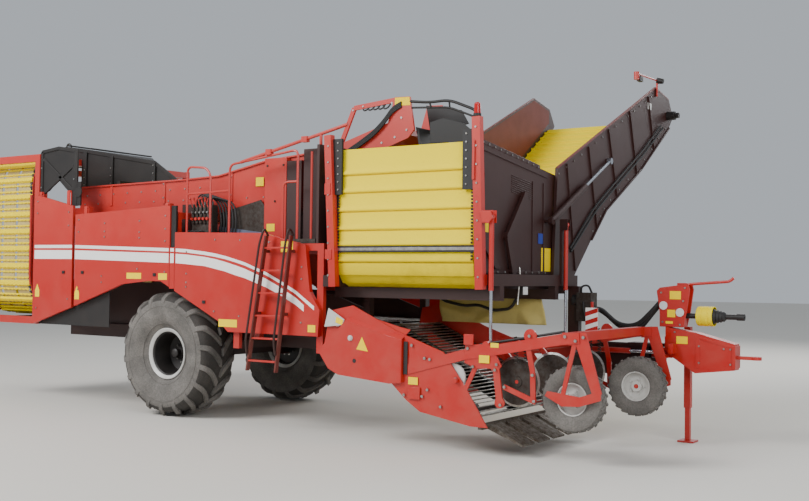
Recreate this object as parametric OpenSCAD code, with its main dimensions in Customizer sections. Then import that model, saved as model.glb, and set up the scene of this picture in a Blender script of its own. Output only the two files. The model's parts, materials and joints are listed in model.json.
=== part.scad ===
// Trailed side-lifting potato harvester with a side-unloading bunker, in millimetres.
// Everything is laid out from the axle: X runs forward from it, Y to the left of the
// chassis centreline and Z up from the ground; place() then moves the whole machine so
// that its origin is at the bottom centre of its box.

/* [Wheels and axle] */
// Outside diameter of a tyre over its lugs
tyre_od = 1750; // [1710:5:1770]
// Width of a tyre over its lugs
tyre_w = 650; // [600:5:660]
// Height of a tread lug
lug_h = 45; // [30:1:55]
// Lugs on each half of the tread
lug_count = 18; // [14:1:22]
// Radius of the rim's barrel, where the tyre's beads sit
rim_r = 330; // [315:1:345]
// Distance of a wheel's centre from the centreline
wheel_y = 1270; // [1260:1:1290]
// Distance of a kingpin from the centreline
kingpin_y = 1010; // [1000:1:1020]
// Radius of a kingpin
kingpin_r = 30; // [24:1:36]
// Radius of the stub axles
stub_r = 45; // [35:1:55]
// Depth and height of the axle beam
beam_s = 160; // [140:2:164]
// Room between the axle beam and the chassis rails
axle_gap = 45; // [38:1:50]

/* [Chassis] */
// Distance of the chassis rails from the centreline
rail_y = 680; // [670:1:690]
// Width of a chassis rail
rail_w = 100; // [80:2:110]
// Underside of the chassis rails
rail_z = 1000; // [990:1:1010]
// Height of the chassis rails
rail_h = 200; // [180:5:210]
// Rear end of the chassis rails
rail_x0 = -3000; // [-3050:5:-2950]
// Front end of the left rail, at the drawbar's clevis
neck_x = 6150; // [6100:5:6170]
// Wall of the square tubes
tube_s = 110; // [90:2:120]

/* [Rear cage and ring elevator] */
// Rear face of the open tube cage
cage_x0 = -4350; // [-4400:5:-4320]
// Front face of the cage
cage_x1 = -2730; // [-2750:1:-2720]
// Outer face of the cage, left and right
cage_y = 1600; // [1590:1:1610]
// Thickness of the cage's side tubes across the machine
cage_t = 70; // [50:1:75]
// How far the ring elevator stands above the top of the cage
ring_rise = 90; // [80:1:95]
// Outside width of the ring elevator's loop
ring_w = 2990; // [2940:5:3000]
// Outside height of the ring elevator's loop
ring_h = 2600; // [2560:5:2610]
// Radius of the ring elevator's corners
ring_cr = 550; // [500:5:600]
// Bottom of the ring elevator's loop
ring_z0 = 1310; // [1300:1:1330]
// Front and rear edges of the ring elevator's web
ring_x0 = -4180; // [-4200:5:-4150]
ring_x1 = -3060; // [-3100:5:-3050]
// Spacing of the ring elevator's bars
ring_pitch = 144; // [120:2:170]
// Links round each corner of the ring elevator
ring_links = 6; // [5:1:7]
// Height of a bar over its belts
ring_bar = 34; // [26:1:38]

/* [Side panels] */
// Outer face of the side panels
panel_y = 1650; // [1645:1:1665]
// Top of the rear doors and of the middle doors
rear_top = 3190; // [3170:1:3200]
mid_top = 2940; // [2930:1:2945]
// Depth of a panel's folded edges
panel_d = 45; // [36:1:45]
// Thickness of the panels' sheet
sheet = 8; // [6:1:12]

/* [Picking table and platform] */
// Half the distance between the picking table's walls, inside
table_y = 1190; // [1170:5:1200]
// Underside of the picking table's walls
table_z = 3000; // [2995:1:3010]
// Height of the picking belt's shafts over the underside of the walls
pick_rise = 120; // [110:1:130]
// Radius of the drums on those shafts
pick_r = 45; // [40:1:48]
// Top of the standing platform
deck_z = 2460; // [2440:5:2480]

/* [Bunker] */
// Rear face of the bunker's rear wall
bunker_x0 = 3020; // [3010:1:3030]
// Front face of the bunker's front wall
bunker_x1 = 5060; // [5050:1:5070]
// Outer face of the slatted near side
bunker_y = 1600; // [1595:1:1602]
// Top of the slatted near side
bunker_top = 3530; // [3500:5:3560]
// Underside of the bunker's walls, on its base rails
bunker_z0 = 1860; // [1855:1:1865]
// Thickness of the bunker's and boom's walls
wall = 40; // [30:1:42]
// Height of a slat on the bunker's near side, and spacing of the floor's ribs
slat_pitch = 225; // [200:5:240]
// Spacing of the rods on the crop webs
web_pitch = 200; // [180:5:240]
// Gap between a bunker wall and the boom wall beside it
knee_gap = 15; // [8:1:18]

/* [Discharge boom] */
// Place of the boom's hinge line across the machine
knee_y = 450; // [445:1:455]
// Height of the boom's hinge line
knee_z = 1950; // [1945:1:1955]
// Radius of the boom's hinge pins
knee_r = 30; // [24:1:34]

/* [Intake] */
// Hinge line of the intake
lift_x = 3150; // [3140:1:3160]
lift_z = 1150; // [1145:1:1155]
// Radius of the shaft on that line
lift_r = 40; // [34:1:45]
// Right and left sides of the intake
intake_y0 = -1750; // [-1760:1:-1740]
intake_y1 = 350; // [340:1:355]
// Thickness of the intake's side plates
plate = 20; // [14:1:24]
// Radius of a disc coulter
coulter_r = 280; // [260:1:290]
// Outside radius of the depth wheels' tyres, and radius of their rims
depth_r = 360; // [340:1:365]
depth_rim = 180; // [160:1:190]
// Width of the depth wheels' tyres
depth_w = 190; // [180:1:200]
// Room between a disc coulter and the depth wheel ahead of it
wheel_gap = 50; // [40:1:60]
// Height of the depth wheels' pins
depth_z = 710; // [700:1:720]

/* [Drawbar] */
// Place of the drawbar's upright pin
swing_x = 6350; // [6345:1:6360]
swing_y = 680; // [675:1:685]
// Radius of the drawbar's upright pin
swing_r = 40; // [34:1:44]
// Distance of the steering cylinder's eye ahead of the drawbar's pin
steer_arm = 130; // [120:1:140]
// Place of the tow eye's centre
eye_x = 7560; // [7520:5:7600]
eye_z = 1080; // [1060:5:1100]
// Radius of the tow eye's hole
eye_r = 25; // [20:0.5:26]
// Thickness of the tow eye
eye_t = 40; // [30:1:50]
// Radius of the splined input shaft's bore
pto_r = 17.5; // [17:0.1:22]

/* [Hidden] */

red = "#b0161c";
maroon = "#5b2b26";
black = "#1c1c1e";
yellow = "#e8c81e";
steel = "#b9bdc2";
grey = "#6a6c70";

axle_z = tyre_od / 2;
fit = 0.5;          // radial room round a turning pin
seat = 0.3;         // room between curved faces of one body
mov = 6;            // room between pieces that move past each other

rail_top = rail_z + rail_h;
ring_top = ring_z0 + ring_h;
cage_top = ring_top - ring_rise;
ring_mid = ring_z0 + ring_h / 2;
ring_belt = 14;     // thickness of the ring elevator's belts
roller = 50;        // radius of the rollers that carry it

// The boom's outline from its knee, across the machine and up, [Y, Z] before it is lowered
BOOM = [[250, 1800], [640, 1800], [1430, 2530], [1930, 2970], [3240, 3660], [4440, 4440],
        [4620, 4630], [4430, 4890], [3850, 5000], [370, 3420]];
boom_tip_y = 4620;
right_y = -1800;
lamp_d = 30;

// Middle of the whole machine, which becomes the origin
mid_x = (cage_x0 - lamp_d + eye_x + 60) / 2;
mid_y = (right_y + boom_tip_y) / 2;

// How far the body stands above its drawn height: its rails go up and down with the axle
rise = axle_z + beam_s / 2 + axle_gap - rail_z;
module place(up = rise) translate([-mid_x, -mid_y, up]) children();
module both() { children(); mirror([0, 1, 0]) children(); }
module box(x0, x1, y0, y1, z0, z1) translate([x0, y0, z0]) cube([x1 - x0, y1 - y0, z1 - z0]);
// A flat outline [X, Z] made as thick as Y runs from y0 to y1
module xz(y0, y1) translate([0, y1, 0]) rotate([90, 0, 0]) linear_extrude(y1 - y0) children();
// A flat outline [Y, Z] made as thick as X runs from x0 to x1
module yz(x0, x1) translate([x0, 0, 0]) rotate([90, 0, 90]) linear_extrude(x1 - x0) children();
module xpin(x0, x1, y, z, r) translate([x0, y, z]) rotate([0, 90, 0]) cylinder(r = r, h = x1 - x0);
module ypin(x, y0, y1, z, r) translate([x, y0, z]) rotate([-90, 0, 0]) cylinder(r = r, h = y1 - y0);
module zpin(x, y, z0, z1, r) translate([x, y, z0]) cylinder(r = r, h = z1 - z0);
module rod(p, q, r) translate(p)
    rotate([0, acos((q - p)[2] / norm(q - p)), atan2((q - p)[1], (q - p)[0])])
        cylinder(r = r, h = norm(q - p));
function strip(p, q, w) = let (n = [p[1] - q[1], q[0] - p[0]] / norm(q - p) * w / 2)
    [p - n, q - n, q + n, p + n];
function unit(v) = v / norm(v);
// An outline drawn anticlockwise, moved in by d
function inset(p, d) = [for (i = [0 : len(p) - 1]) let (
    a = p[(i + len(p) - 1) % len(p)], b = p[i], c = p[(i + 1) % len(p)],
    u = unit(b - a), v = unit(c - b)) b + ([-u[1], u[0]] + [-v[1], v[0]]) * d / (1 + u * v)];
// A sheet pan seen from its outer face at y1: skin, and folded edges d deep towards y0
module pan(p, y0, y1) difference() {
    xz(y0, y1) polygon(p);
    xz(y0 - 1, y1 - sheet) polygon(inset(p, sheet));
}
module bars(p, w, y0, y1) for (i = [0 : len(p) - 2]) xz(y0, y1) polygon(strip(p[i], p[i + 1], w));
module disc_at(p, r) translate(p) circle(r);

$fn = 48;

// WHEELS: fractions of the way from bead to crown, and of half the tyre's width
TYRE = [[0, .64], [.04, .64], [.25, .94], [.6, 1], [.92, .93], [1, .72]];
crown_r = tyre_od / 2 - lug_h;
function both_beads(p) = concat([for (t = p) [t[0], -t[1]]], [for (i = [len(p) - 1 : -1 : 0]) p[i]]);
// A profile [radius, along the axis] turned about Z in n flat facets, so that a tyre stays light
module facet_ring(p, n) polyhedron(
    points = [for (k = [0 : n - 1], q = p)
        let (a = 360 * k / n, r = q[0] / cos(180 / n)) [r * cos(a), r * sin(a), q[1]]],
    faces = [for (k = [0 : n - 1], i = [0 : len(p) - 1]) let (m = len(p), j = (i + 1) % m, l = (k + 1) % n)
        [k * m + i, k * m + j, l * m + j, l * m + i]]);
// Corners of a lug: along the tread, across it as a share of half the width, drop of the top there
LUG = [[-118, .02, 9], [-62, .02, 3], [118, 1, 38], [62, 1, 30]];
lug_root = 120;     // how far a lug's foot reaches in below the crown
module lug() polyhedron(
    points = concat([for (c = LUG) [crown_r - lug_root, c[0], c[1] * tyre_w / 2]],
        [for (c = LUG) [tyre_od / 2 - c[2], c[0], c[1] * tyre_w / 2]]),
    faces = concat([[0, 1, 2, 3], [7, 6, 5], [7, 5, 4]],
        [for (i = [0 : 3]) let (j = (i + 1) % 4) each [[i, i + 4, j + 4], [i, j + 4, j]]]));
module tyre() color(black) {
    facet_ring(both_beads([for (t = TYRE) [rim_r + t[0] * (crown_r - rim_r), t[1] * (tyre_w / 2 - 6)]]),
        2 * lug_count);
    for (side = [0, 1], i = [0 : lug_count - 1])
        mirror([0, 0, side]) rotate([0, 0, (i + side / 2) * 360 / lug_count]) lug();
}
rim_half = .64 * (tyre_w / 2 - 6);
module rim() color(steel) difference() {
    rotate_extrude() {
        translate([rim_r - 20, -rim_half]) square([20 - seat, 2 * rim_half]);
        for (s = [-1, 1]) translate([rim_r - 20, s * (rim_half + 9) - 9]) square([20 + .04 * (crown_r - rim_r), 18]);
        polygon([[0, -100], [105, -100], [105, 20], [150, 44], [rim_r - 20, 10],
                 [rim_r - 20, 34], [150, 68], [105, 68], [105, 110], [0, 110]]);
    }
    translate([0, 0, -101]) cylinder(r = stub_r + fit, h = 161);
    for (i = [0 : 7]) rotate([0, 0, 45 * i + 22.5]) translate([235, 0, 0]) cylinder(r = 28, h = 90);
}
module wheel_place(s) translate([0, s * wheel_y, axle_z]) rotate([-90 * s, 0, 0]) children();
module tyre_left() place(0) wheel_place(1) tyre();
module tyre_right() place(0) wheel_place(-1) tyre();
module rim_left() place(0) wheel_place(1) rim();
module rim_right() place(0) wheel_place(-1) rim();

// AXLE: beam with forked ends, knuckles on upright kingpins, and a tie rod
ear_z = 86;
ear_t = 36;
arm_x = -250;
arm_y = kingpin_y - 25;
module axle_beam() place(0) color(maroon) {
    box(-beam_s / 2, beam_s / 2, -860, 860, axle_z - beam_s / 2, axle_z + beam_s / 2);
    both() {
        box(-beam_s / 2, beam_s / 2, 850, kingpin_y - 85, axle_z - ear_z - ear_t, axle_z + ear_z + ear_t);
        for (s = [-1, 1]) difference() {
            translate([-70, kingpin_y - 86, axle_z + s * (ear_z + ear_t / 2) - ear_t / 2])
                cube([140, 156, ear_t]);
            zpin(0, kingpin_y, axle_z - 200, axle_z + 200, kingpin_r + fit);
        }
        box(-beam_s / 2, beam_s / 2, rail_y - rail_w / 2, rail_y + rail_w / 2,
            axle_z + beam_s / 2 - 1, axle_z + beam_s / 2 + axle_gap);
    }
}
module knuckle() color(grey) {
    box(-62, 62, kingpin_y - 62, kingpin_y + 62, axle_z - ear_z + mov, axle_z + ear_z - mov);
    zpin(0, kingpin_y, axle_z - ear_z - ear_t - 14, axle_z + ear_z + ear_t + 14, kingpin_r);
    ypin(0, kingpin_y + 50, wheel_y + 55, axle_z, stub_r);
    ypin(0, kingpin_y + 50, wheel_y - 110, axle_z, stub_r + 30);
    box(arm_x - 30, -50, arm_y - 28, arm_y + 28, axle_z - 62, axle_z - 36);
    zpin(arm_x, arm_y, axle_z - 40, axle_z + 8, 12);
    zpin(arm_x, arm_y, axle_z - 37, axle_z - 30 - seat, 40);
}
module knuckle_left() place(0) knuckle();
module knuckle_right() place(0) mirror([0, 1, 0]) knuckle();
module tie_rod() place(0) color(grey) {
    ypin(arm_x, -arm_y + 36, arm_y - 36, axle_z - 16, 13);
    both() difference() {
        zpin(arm_x, arm_y, axle_z - 30, axle_z - 2, 42);
        zpin(arm_x, arm_y, axle_z - 31, axle_z, 29);
    }
}

// CHASSIS: two rails, cross members, bunker columns and the drawbar's clevis
CROSS = [rail_x0 + 60, -1650, 1350, 2850];      // where cross members lie along X
module chassis_frame() place() color(maroon) {
    box(rail_x0, neck_x, rail_y - rail_w / 2, rail_y + rail_w / 2, rail_z, rail_top);
    box(rail_x0, lift_x + 60, -rail_y - rail_w / 2, -rail_y + rail_w / 2, rail_z, rail_top);
    // shaft through both rails that the intake swings on
    ypin(lift_x, intake_y0, rail_y - 1, lift_z, lift_r);
    for (x = [1350, 2850]) both()
        box(x, x + rail_w, rail_y, cage_y - cage_t, rail_z + 20, rail_z + 120);
    both() box(2850, 2950, rail_y - rail_w / 2, rail_y + rail_w / 2, rail_top - 1, bunker_z0);
    box(5150, 5300, rail_y - rail_w / 2, rail_y + rail_w / 2, rail_top - 1, bunker_z0 + 40);
    for (z = [rail_z - 10, rail_top - 30]) difference() {
        union() {
            box(neck_x - 150, swing_x, swing_y - 110, swing_y + 110, z, z + 40);
            zpin(swing_x, swing_y, z, z + 40, 110);
        }
        zpin(swing_x, swing_y, z - 1, z + 41, swing_r + fit);
    }
    // lug and pin of the steering cylinder
    box(STEER[0] - 60, STEER[0] + 60, STEER[1] - 40, rail_y, steer_z - 65, steer_z - 41);
    zpin(STEER[0], STEER[1], steer_z - 42, steer_z + 40, 16);
}

module cross_members() place() color(maroon) for (x = CROSS)
    box(x, x + rail_w, -rail_y + rail_w / 2, rail_y - rail_w / 2, rail_z + 20, rail_z + 120);

// BODY FRAME: what the side panels, doors and picking table hang on
strut_x = 205;
module body_frame() place() color(red) {
    both() {
        box(cage_x1, 2600, table_y - 90, table_y, table_z - 140, table_z);
        box(cage_x1, 290, cage_y - cage_t, cage_y - 12, 2760, 2850);
        box(strut_x, 290, cage_y - cage_t, cage_y - 12, 1900, 2761);
        box(1350, 1450, cage_y - cage_t, cage_y - 12, rail_z + 20, 2400);
        box(2750, 2850, cage_y - cage_t, cage_y - 12, rail_z + 20, 2400);
        box(1350, 1450, table_y - 90, table_y, rail_z + 120, table_z - 130);
        box(strut_x, 2850, cage_y - cage_t, cage_y - 12, 2310, 2400);
    }
    for (x = [-1700, strut_x, 1350, 2750])
        box(x, x + 85, -cage_y + cage_t, cage_y - cage_t, x < 300 ? 2760 : 2310, x < 300 ? 2850 : 2400);
    for (x = [-1700, strut_x]) both() box(x, x + 85, table_y - 90, table_y, 2849, table_z - 139);
    both() box(2450, 2535, table_y - 90, table_y, 2399, table_z - 139);
    both() box(2450, 2835, table_y - 90, table_y, 2310, 2400);
    both() {
        for (h = REAR_LEAF) hinge_bracket(h[0], rear_hz);
        for (h = MID_LEAF) hinge_bracket(h[0], mid_hz);
    }
}

// REAR CAGE of square tubes round the ring elevator
CAGE_CROSS = [ring_z0 + 60, cage_top - tube_s];          // undersides of the cross tubes
module rear_cage() place() color(red) {
    both() difference() {
        box(cage_x0, cage_x1, cage_y - cage_t, cage_y, rail_top, cage_top);
        box(cage_x0 + tube_s, cage_x1 - tube_s, cage_y - cage_t - 1, cage_y + 1,
            rail_top + tube_s, cage_top - tube_s);
    }
    for (x = [cage_x0, cage_x1 - tube_s], z = CAGE_CROSS)
        box(x, x + tube_s, -cage_y + cage_t - 1, cage_y - cage_t + 1, z, z + tube_s - 10);
    box(cage_x1 - tube_s, cage_x1, -cage_y + cage_t - 1, cage_y - cage_t + 1, 2740, 2850);
    both() box(cage_x1 - tube_s, cage_x1, rail_y - rail_w / 2, rail_y + rail_w / 2, rail_top, CAGE_CROSS[0] + 1);
}

// RING ELEVATOR: a loop of flat links with a bar on each, seen along X
function loop(w, h, r) = [for (q = [0 : 3], k = [0 : ring_links]) let (a = 90 * (q + k / ring_links))
    [(q == 0 || q == 3 ? 1 : -1) * (w / 2 - r) + r * cos(a), (q < 2 ? 1 : -1) * (h / 2 - r) + r * sin(a)]];
// Middle and direction of each link along an outline
function links(p) = [for (i = [0 : len(p) - 1])
    let (a = p[i], b = p[(i + 1) % len(p)], n = max(1, round(norm(b - a) / ring_pitch)))
        for (k = [0 : n - 1]) [a + (b - a) * (k + .5) / n, unit(b - a)]];
module ring_band(x0, x1, out, in) translate([0, 0, ring_mid]) yz(x0, x1) difference() {
    polygon(loop(ring_w + 2 * out, ring_h + 2 * out, ring_cr + out));
    polygon(loop(ring_w - 2 * in, ring_h - 2 * in, ring_cr - in));
}
ring_in = ring_bar + ring_belt;
BELTS = [ring_x0, ring_x1 - 60];                // where the two belts lie along X
module ring_web() {
    for (x = BELTS) color(steel) ring_band(x, x + 60, -ring_bar, ring_in);
    color(yellow) translate([0, 0, ring_mid]) yz(ring_x0, ring_x1)
        for (l = links(loop(ring_w - 2 * ring_bar, ring_h - 2 * ring_bar, ring_cr - ring_bar)))
            let (t = l[1] * 24, up = [l[1][1], -l[1][0]] * ring_bar)
                polygon([l[0] - t, l[0] - t + up, l[0] + t + up, l[0] + t]);
}
// The straight runs and the corners are laced together where the corners begin
module ring_runs() {
    box(cage_x0, cage_x1, ring_cr - ring_w / 2, ring_w / 2 - ring_cr, ring_z0 - 1, ring_top + 1);
    box(cage_x0, cage_x1, -ring_w, ring_w, ring_z0 + ring_cr, ring_top - ring_cr);
}
module ring_elevator() place() intersection() {
    ring_web();
    ring_runs();
}
module ring_corners() place() difference() {
    ring_web();
    ring_runs();
}
module ring_carriers() place() {
    color(grey) for (z = [ring_z0 + ring_in + roller + seat, ring_top - ring_in - roller - seat], y = [-860, 860]) {
        xpin(cage_x0 + tube_s, cage_x1 - tube_s, y, z, 22);
        for (x = BELTS) xpin(x - 5, x + 65, y, z, roller);
    }
    // guide plate along the front edge, on stubs from the cage's cross tubes
    color(red) ring_band(ring_x1 + 20, ring_x1 + 32, -4, 110);
    color(red) for (y = [-400, 400], z = [CAGE_CROSS[0] + 10, CAGE_CROSS[1] + 45])
        box(ring_x1 + 31, cage_x1 - tube_s, y, y + 60, z, z + 50);
}

// MAIN CHANNEL between the rails: side walls and the long rod web
chan_y = rail_y - 25;
module main_channel() place() color(maroon) both()
    pan([[-2600, rail_top], [2840, rail_top], [2840, 1560], [2300, 1740], [-2600, 1900]],
        chan_y - 30, chan_y);
// A flat loop of rods on two belts between rollers at p and q
module rod_web(p, q, r, y0, y1, pitch) {
    d = norm(q - p);
    u = (q - p) / d;
    m = [-u[1], u[0]];
    n = round(d / pitch);
    xz(y0, y1) for (i = [0 : n], s = [-1, 1])
        let (c = p + u * d * i / n + s * m * (r + rod_h / 2 - 1)) polygon(strip(c - u * 8, c + u * 8, rod_h));
    for (y = [y0, y1 - 60]) xz(y, y + 60) {
        for (s = [-1, 1]) let (c = s * m * (r - belt_t / 2)) polygon(strip(p + c - u * 8, q + c + u * 8, belt_t));
        for (c = [p, q]) translate(c) rotate(atan2(u[1], u[0]) + 15) circle(r = r / cos(15), $fn = 12);
    }
    for (c = [p, q]) ypin(c[0], y0 + 1, y1 - 1, c[1], r - belt_t - 6);
}
rod_h = 16;         // height and width of a rod
belt_t = 12;        // thickness of the belts under the rods
chan_web = chan_y - 43;
module main_web() place() color(steel) {
    rod_web([2900, 1330], [-2450, 1480], 70, -chan_web, chan_web, web_pitch * 1.4);
    ypin(2900, -rail_y + rail_w / 2 + seat, rail_y - rail_w / 2 - seat, 1330, 22);
    ypin(-2450, -chan_y + sheet + seat, chan_y - sheet - seat, 1480, 22);
}
module separator_rollers() place() {
    color(yellow) for (i = [0 : 7])
        ypin(-3250 - i * 110, -1150, 1150, ring_z0 + 265 + i * 12, 46);
    // side bars from cross tube to cross tube, which hold the rollers' shafts
    color(red) both() {
        xz(1150 - 1, 1175) translate([0, ring_z0]) polygon([[cage_x0 + tube_s, 90], [ring_x0 - 40, 90],
            [ring_x0 - 40, 195], [ring_x1 + 40, 195], [ring_x1 + 40, 90], [cage_x1 - tube_s, 90],
            [cage_x1 - tube_s, 155], [-3150, 340], [-4080, 425], [cage_x0 + tube_s, 170]]);
    }
}

// PICKING TABLE: walls on the body frame, web between them
TABLE_TOP = [[2570, 3630], [1550, 3550], [680, 3380], [-100, 3350], [-2270, 3320]];
hinge_x = 2480;
hinge_z = 3420;
module picking_walls() place() color(red) {
    both() pan(concat([[-2270, table_z], [2570, table_z]], TABLE_TOP), table_y - 60, table_y);
    ypin(hinge_x, -table_y + 8, table_y - 8, hinge_z, 30);
}
// A closed belt with ribs round two drums
PICK = [-2180, 2250];                        // where the drums' shafts lie along X
pick_z = table_z + pick_rise;
module belt_outline(r) {
    translate([PICK[0], pick_z - r]) square([PICK[1] - PICK[0], 2 * r]);
    for (x = PICK) translate([x, pick_z]) circle(r);
}
module picking_web() place() color(yellow) {
    for (x = PICK) {
        ypin(x, -table_y + sheet + seat, table_y - sheet - seat, pick_z, 20);
        ypin(x, -table_y + 75, table_y - 75, pick_z, pick_r - belt_t + 1);
    }
    xz(-table_y + 70, table_y - 70) difference() {
        belt_outline(pick_r);
        belt_outline(pick_r - belt_t);
    }
    for (x = [PICK[0] + web_pitch / 2 : web_pitch : PICK[1] - 10])
        box(x, x + 12, -table_y + 70, table_y - 70, pick_z + pick_r - 1, pick_z + pick_r + 14);
}

HOOD = [[-550, 3320], [-510, 3380], [-1050, ring_top - 200], [-2540, ring_top + 50],
        [-3100, ring_top + 130], [-3730, ring_top + 80], [-3730, ring_top + 15], [cage_x1 - tube_s, ring_top + 15], [cage_x1 - tube_s, cage_top - 10], [cage_x1, cage_top - 10],
        [cage_x1, 3320]];
module rear_hood() place() color(black) {
    difference() {
        xz(-800, 800) polygon(HOOD);
        xz(-800 + 12, 800 - 12) polygon(inset(HOOD, 12));
        xz(-700, 700) polygon([[-700, 3200], [-600, 3420], [-2600, ring_top - 10], [-2600, 3200]]);
    }
    both() box(-1500, -1440, 799, table_y - 60, 3330, 3390);
}

// SIDE PANELS: the two rear ones are lift-up doors, the front one is fixed
REAR_DOOR = [[-2755, 1205], [-1865, 1478], [-1865, rear_top - 200], [-2755, rear_top]];
MID_DOOR = [[-1805, 1497], [-760, 1840], [-240, 1890], [20, 1890], [185, 1812], [185, mid_top],
            [-1805, mid_top - 80]];
FRONT_PANEL = [[290, 1762], [1150, 1360], [1300, 1235], [2820, 1235], [2840, 1570], [2680, 1790],
               [2600, 2380], [1880, 2540], [290, 2570]];
rear_hz = rear_top + 25;
mid_hz = mid_top + 25;
hinge_pin_r = 8;
// Hinge leaves of a door: X of the leaf, Z of its foot
REAR_LEAF = [[-2700, rear_top - 25], [-2050, rear_top - 170]];
MID_LEAF = [[-1650, mid_top - 90], [50, mid_top - 20]];
// What a leaf turns on: a bracket on the beam behind the door, and its pin
module hinge_bracket(x, z) {
    box(x + 62, x + 80, cage_y - cage_t, cage_y - 2, 2849, z + 12);
    xpin(x - 4, x + 80, cage_y, z, hinge_pin_r);
}
module rear_door() color(red) {
    pan(REAR_DOOR, panel_y - panel_d, panel_y);
    for (h = REAR_LEAF) hinge_leaf(h[0], rear_hz, h[1]);
}
module mid_door() color(red) {
    pan(MID_DOOR, panel_y - panel_d, panel_y);
    for (h = MID_LEAF) hinge_leaf(h[0], mid_hz, h[1]);
}
// A leaf from the door's folded edge up to its hinge barrel
module hinge_leaf(x, z, z0) {
    difference() {
        union() {
            box(x, x + 60, panel_y - panel_d, panel_y - panel_d + 12, z0, z);
            xpin(x, x + 60, cage_y, z, 17);
        }
        xpin(x - 1, x + 61, cage_y, z, hinge_pin_r + fit);
    }
}
module rear_door_left() place() rear_door();
module rear_door_right() place() mirror([0, 1, 0]) rear_door();
module mid_door_left() place() mid_door();
module mid_door_right() place() mirror([0, 1, 0]) mid_door();
module front_panel() color(red) pan(FRONT_PANEL, cage_y - 12 + seat, panel_y);
module front_panels() place() both() front_panel();

// PLATFORM, ladder and rails on the right side
module platform() place() color(grey) {
    box(300, 2700, -cage_y + 15, -table_y - 10, 2400, deck_z);
    // dark deflector plate that stands on the deck
    xz(-1230, -1218) polygon([[700, 2450], [1590, 2450], [1610, 2840], [1470, 3010], [740, 2850]]);
}
module gate_wall() place() color(maroon) difference() {
    box(2720, 2760, -cage_y + 10, -table_y + 160, 2400, 3650);
    box(2715, 2750, -cage_y + 40, -table_y + 130, 2440, 3610);
}
LADDER = [[1750, 760, 2040, 2500], [2230, 760, 2450, 2500]];   // X, Z at the foot; X, Z at the top
module ladder() place() color(red) {
    for (s = LADDER) xz(-1790, -1710) polygon(strip([s[0], s[1]], [s[2], s[3]], 45));
    for (i = [0 : 5]) let (t = (i + .4) / 6, z = 760 + t * 1740)
        box(1750 + 290 * t + 10, 2230 + 220 * t - 10, -1780, -1715, z, z + 35);
    for (z = [1500, 2300]) let (t = (z - 760) / 1740)
        for (x = [1750 + 290 * t - 15, 2230 + 220 * t - 15]) box(x, x + 30, -1711, -panel_y, z, z + 50);
}
// Each rail is bent from one tube, [X, Z], and stands on the platform
RAILS = [[[400, deck_z], [400, 3480], [750, 3450], [840, 3350], [840, deck_z]],
    [[1190, deck_z], [1190, 3470], [2370, 3610], [2370, deck_z]],
    [[2130, deck_z], [2130, 3200], [2360, 3200]],
    [[2600, deck_z], [2600, 3570]]];
rail_r = 16;
ARM = [[1390, 3494], [3160, 3880]];          // long arm over the platform, [X, Z]
module handrails() place() {
    y = -1540;
    color(black) for (r = RAILS) {
        for (i = [0 : len(r) - 2]) rod([r[i][0], y, r[i][1]], [r[i + 1][0], y, r[i + 1][1]], rail_r);
        for (i = [1 : len(r) - 2]) translate([r[i][0], y, r[i][1]]) sphere(rail_r + 3);
    }
    color(red) {
        rod([ARM[0][0], y, ARM[0][1]], [ARM[1][0], y, ARM[1][1]], 22);
        rod([2740, y, 3650], [2740, y, 3787], 20);
        for (t = [.28, .62]) translate([ARM[0][0] + t * 1770, y, ARM[0][1] + t * 386]) cube([90, 64, 74], center = true);
    }
}
module valve_block() place() color(grey) {
    box(380, 760, -1420, -1310, deck_z, 2950);
    for (i = [0 : 4]) box(400 + i * 72, 445 + i * 72, -1450, -1419, 2700, 2930);
    // black control box on the column at the front
    box(5300, 5500, 560, 760, 1450, 1820);
}

// BUNKER: base rails, end walls, slatted floor that curves up the near side
base_z = 2000;
module bunker_base() place() color(maroon) {
    box(bunker_x1 + 65, bunker_x1 + 165, -1600, 760, bunker_z0 + 40, base_z + 40);
    box(2850, 2950, -1600, 760, bunker_z0, base_z);
    for (y = [-1350, 90]) {
        box(2850, bunker_x1 + 165, y, y + 100, bunker_z0 - 130, bunker_z0);
        box(bunker_x1 + 65, bunker_x1 + 165, y, y + 100, bunker_z0 - 1, bunker_z0 + 41);
    }
    for (y = [-1500, -700]) box(bunker_x1, bunker_x1 + 66, y, y + 80, bunker_z0 + 60, base_z);
    // upright of the left lift cylinder, with its pin between two ears
    lift_upright(bunker_x1 + 146, LIFT_Y[1], bunker_z0 + 60);
}
// A plate from z0 up to the lift pin, with the ears and pin that a lift cylinder hangs on
module lift_upright(x, y, z0) {
    box(x, x + 30, y - 42, y + 42, z0, lift_pin[1] + 70);
    for (s = [-1, 1]) box(x + 29, lift_pin[0] + 40, y + s * 38 - 4, y + s * 38 + 4, lift_pin[1] - 70, lift_pin[1] + 70);
    ypin(lift_pin[0], y - 40, y + 40, lift_pin[1], lift_pin_r);
}
front_rim = [[-1560, 3560], [400, 3330]];
module bunker_front_wall() place() color(maroon) {
    yz(bunker_x1 - wall, bunker_x1)
        polygon([[-1560, bunker_z0], [520, bunker_z0], [520, 2050], [400, 2200], front_rim[1], front_rim[0]]);
    yz(bunker_x1 - 1, bunker_x1 + 9) polygon([[-1560, 3470], [180, 3270], [180, 3350], [-1560, 3555]]);
    xpin(bunker_x1 - wall, bunker_x1 + 65, knee_y, knee_z, knee_r);
    yz(bunker_x1 + 20, bunker_x1 + 62) for (s = [[[-500, 3020], [-950, 2480]], [[-950, 2480], [-800, 2060]]])
        polygon(strip(s[0], s[1], 90));
    for (p = [[-520, 3000], [-940, 2490], [-810, 2080]]) xpin(bunker_x1 - 1, bunker_x1 + 63, p[0], p[1], 50);
    for (y = [-1460, -240, 60]) box(bunker_x1 - 1, bunker_x1 + 9, y, y + 40, base_z + 60, 3200);
    xpin(bunker_x1 - 1, cyl_x + 32, BOOM_CYL[0][0], BOOM_CYL[0][1], boom_pin_r);
}
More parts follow.
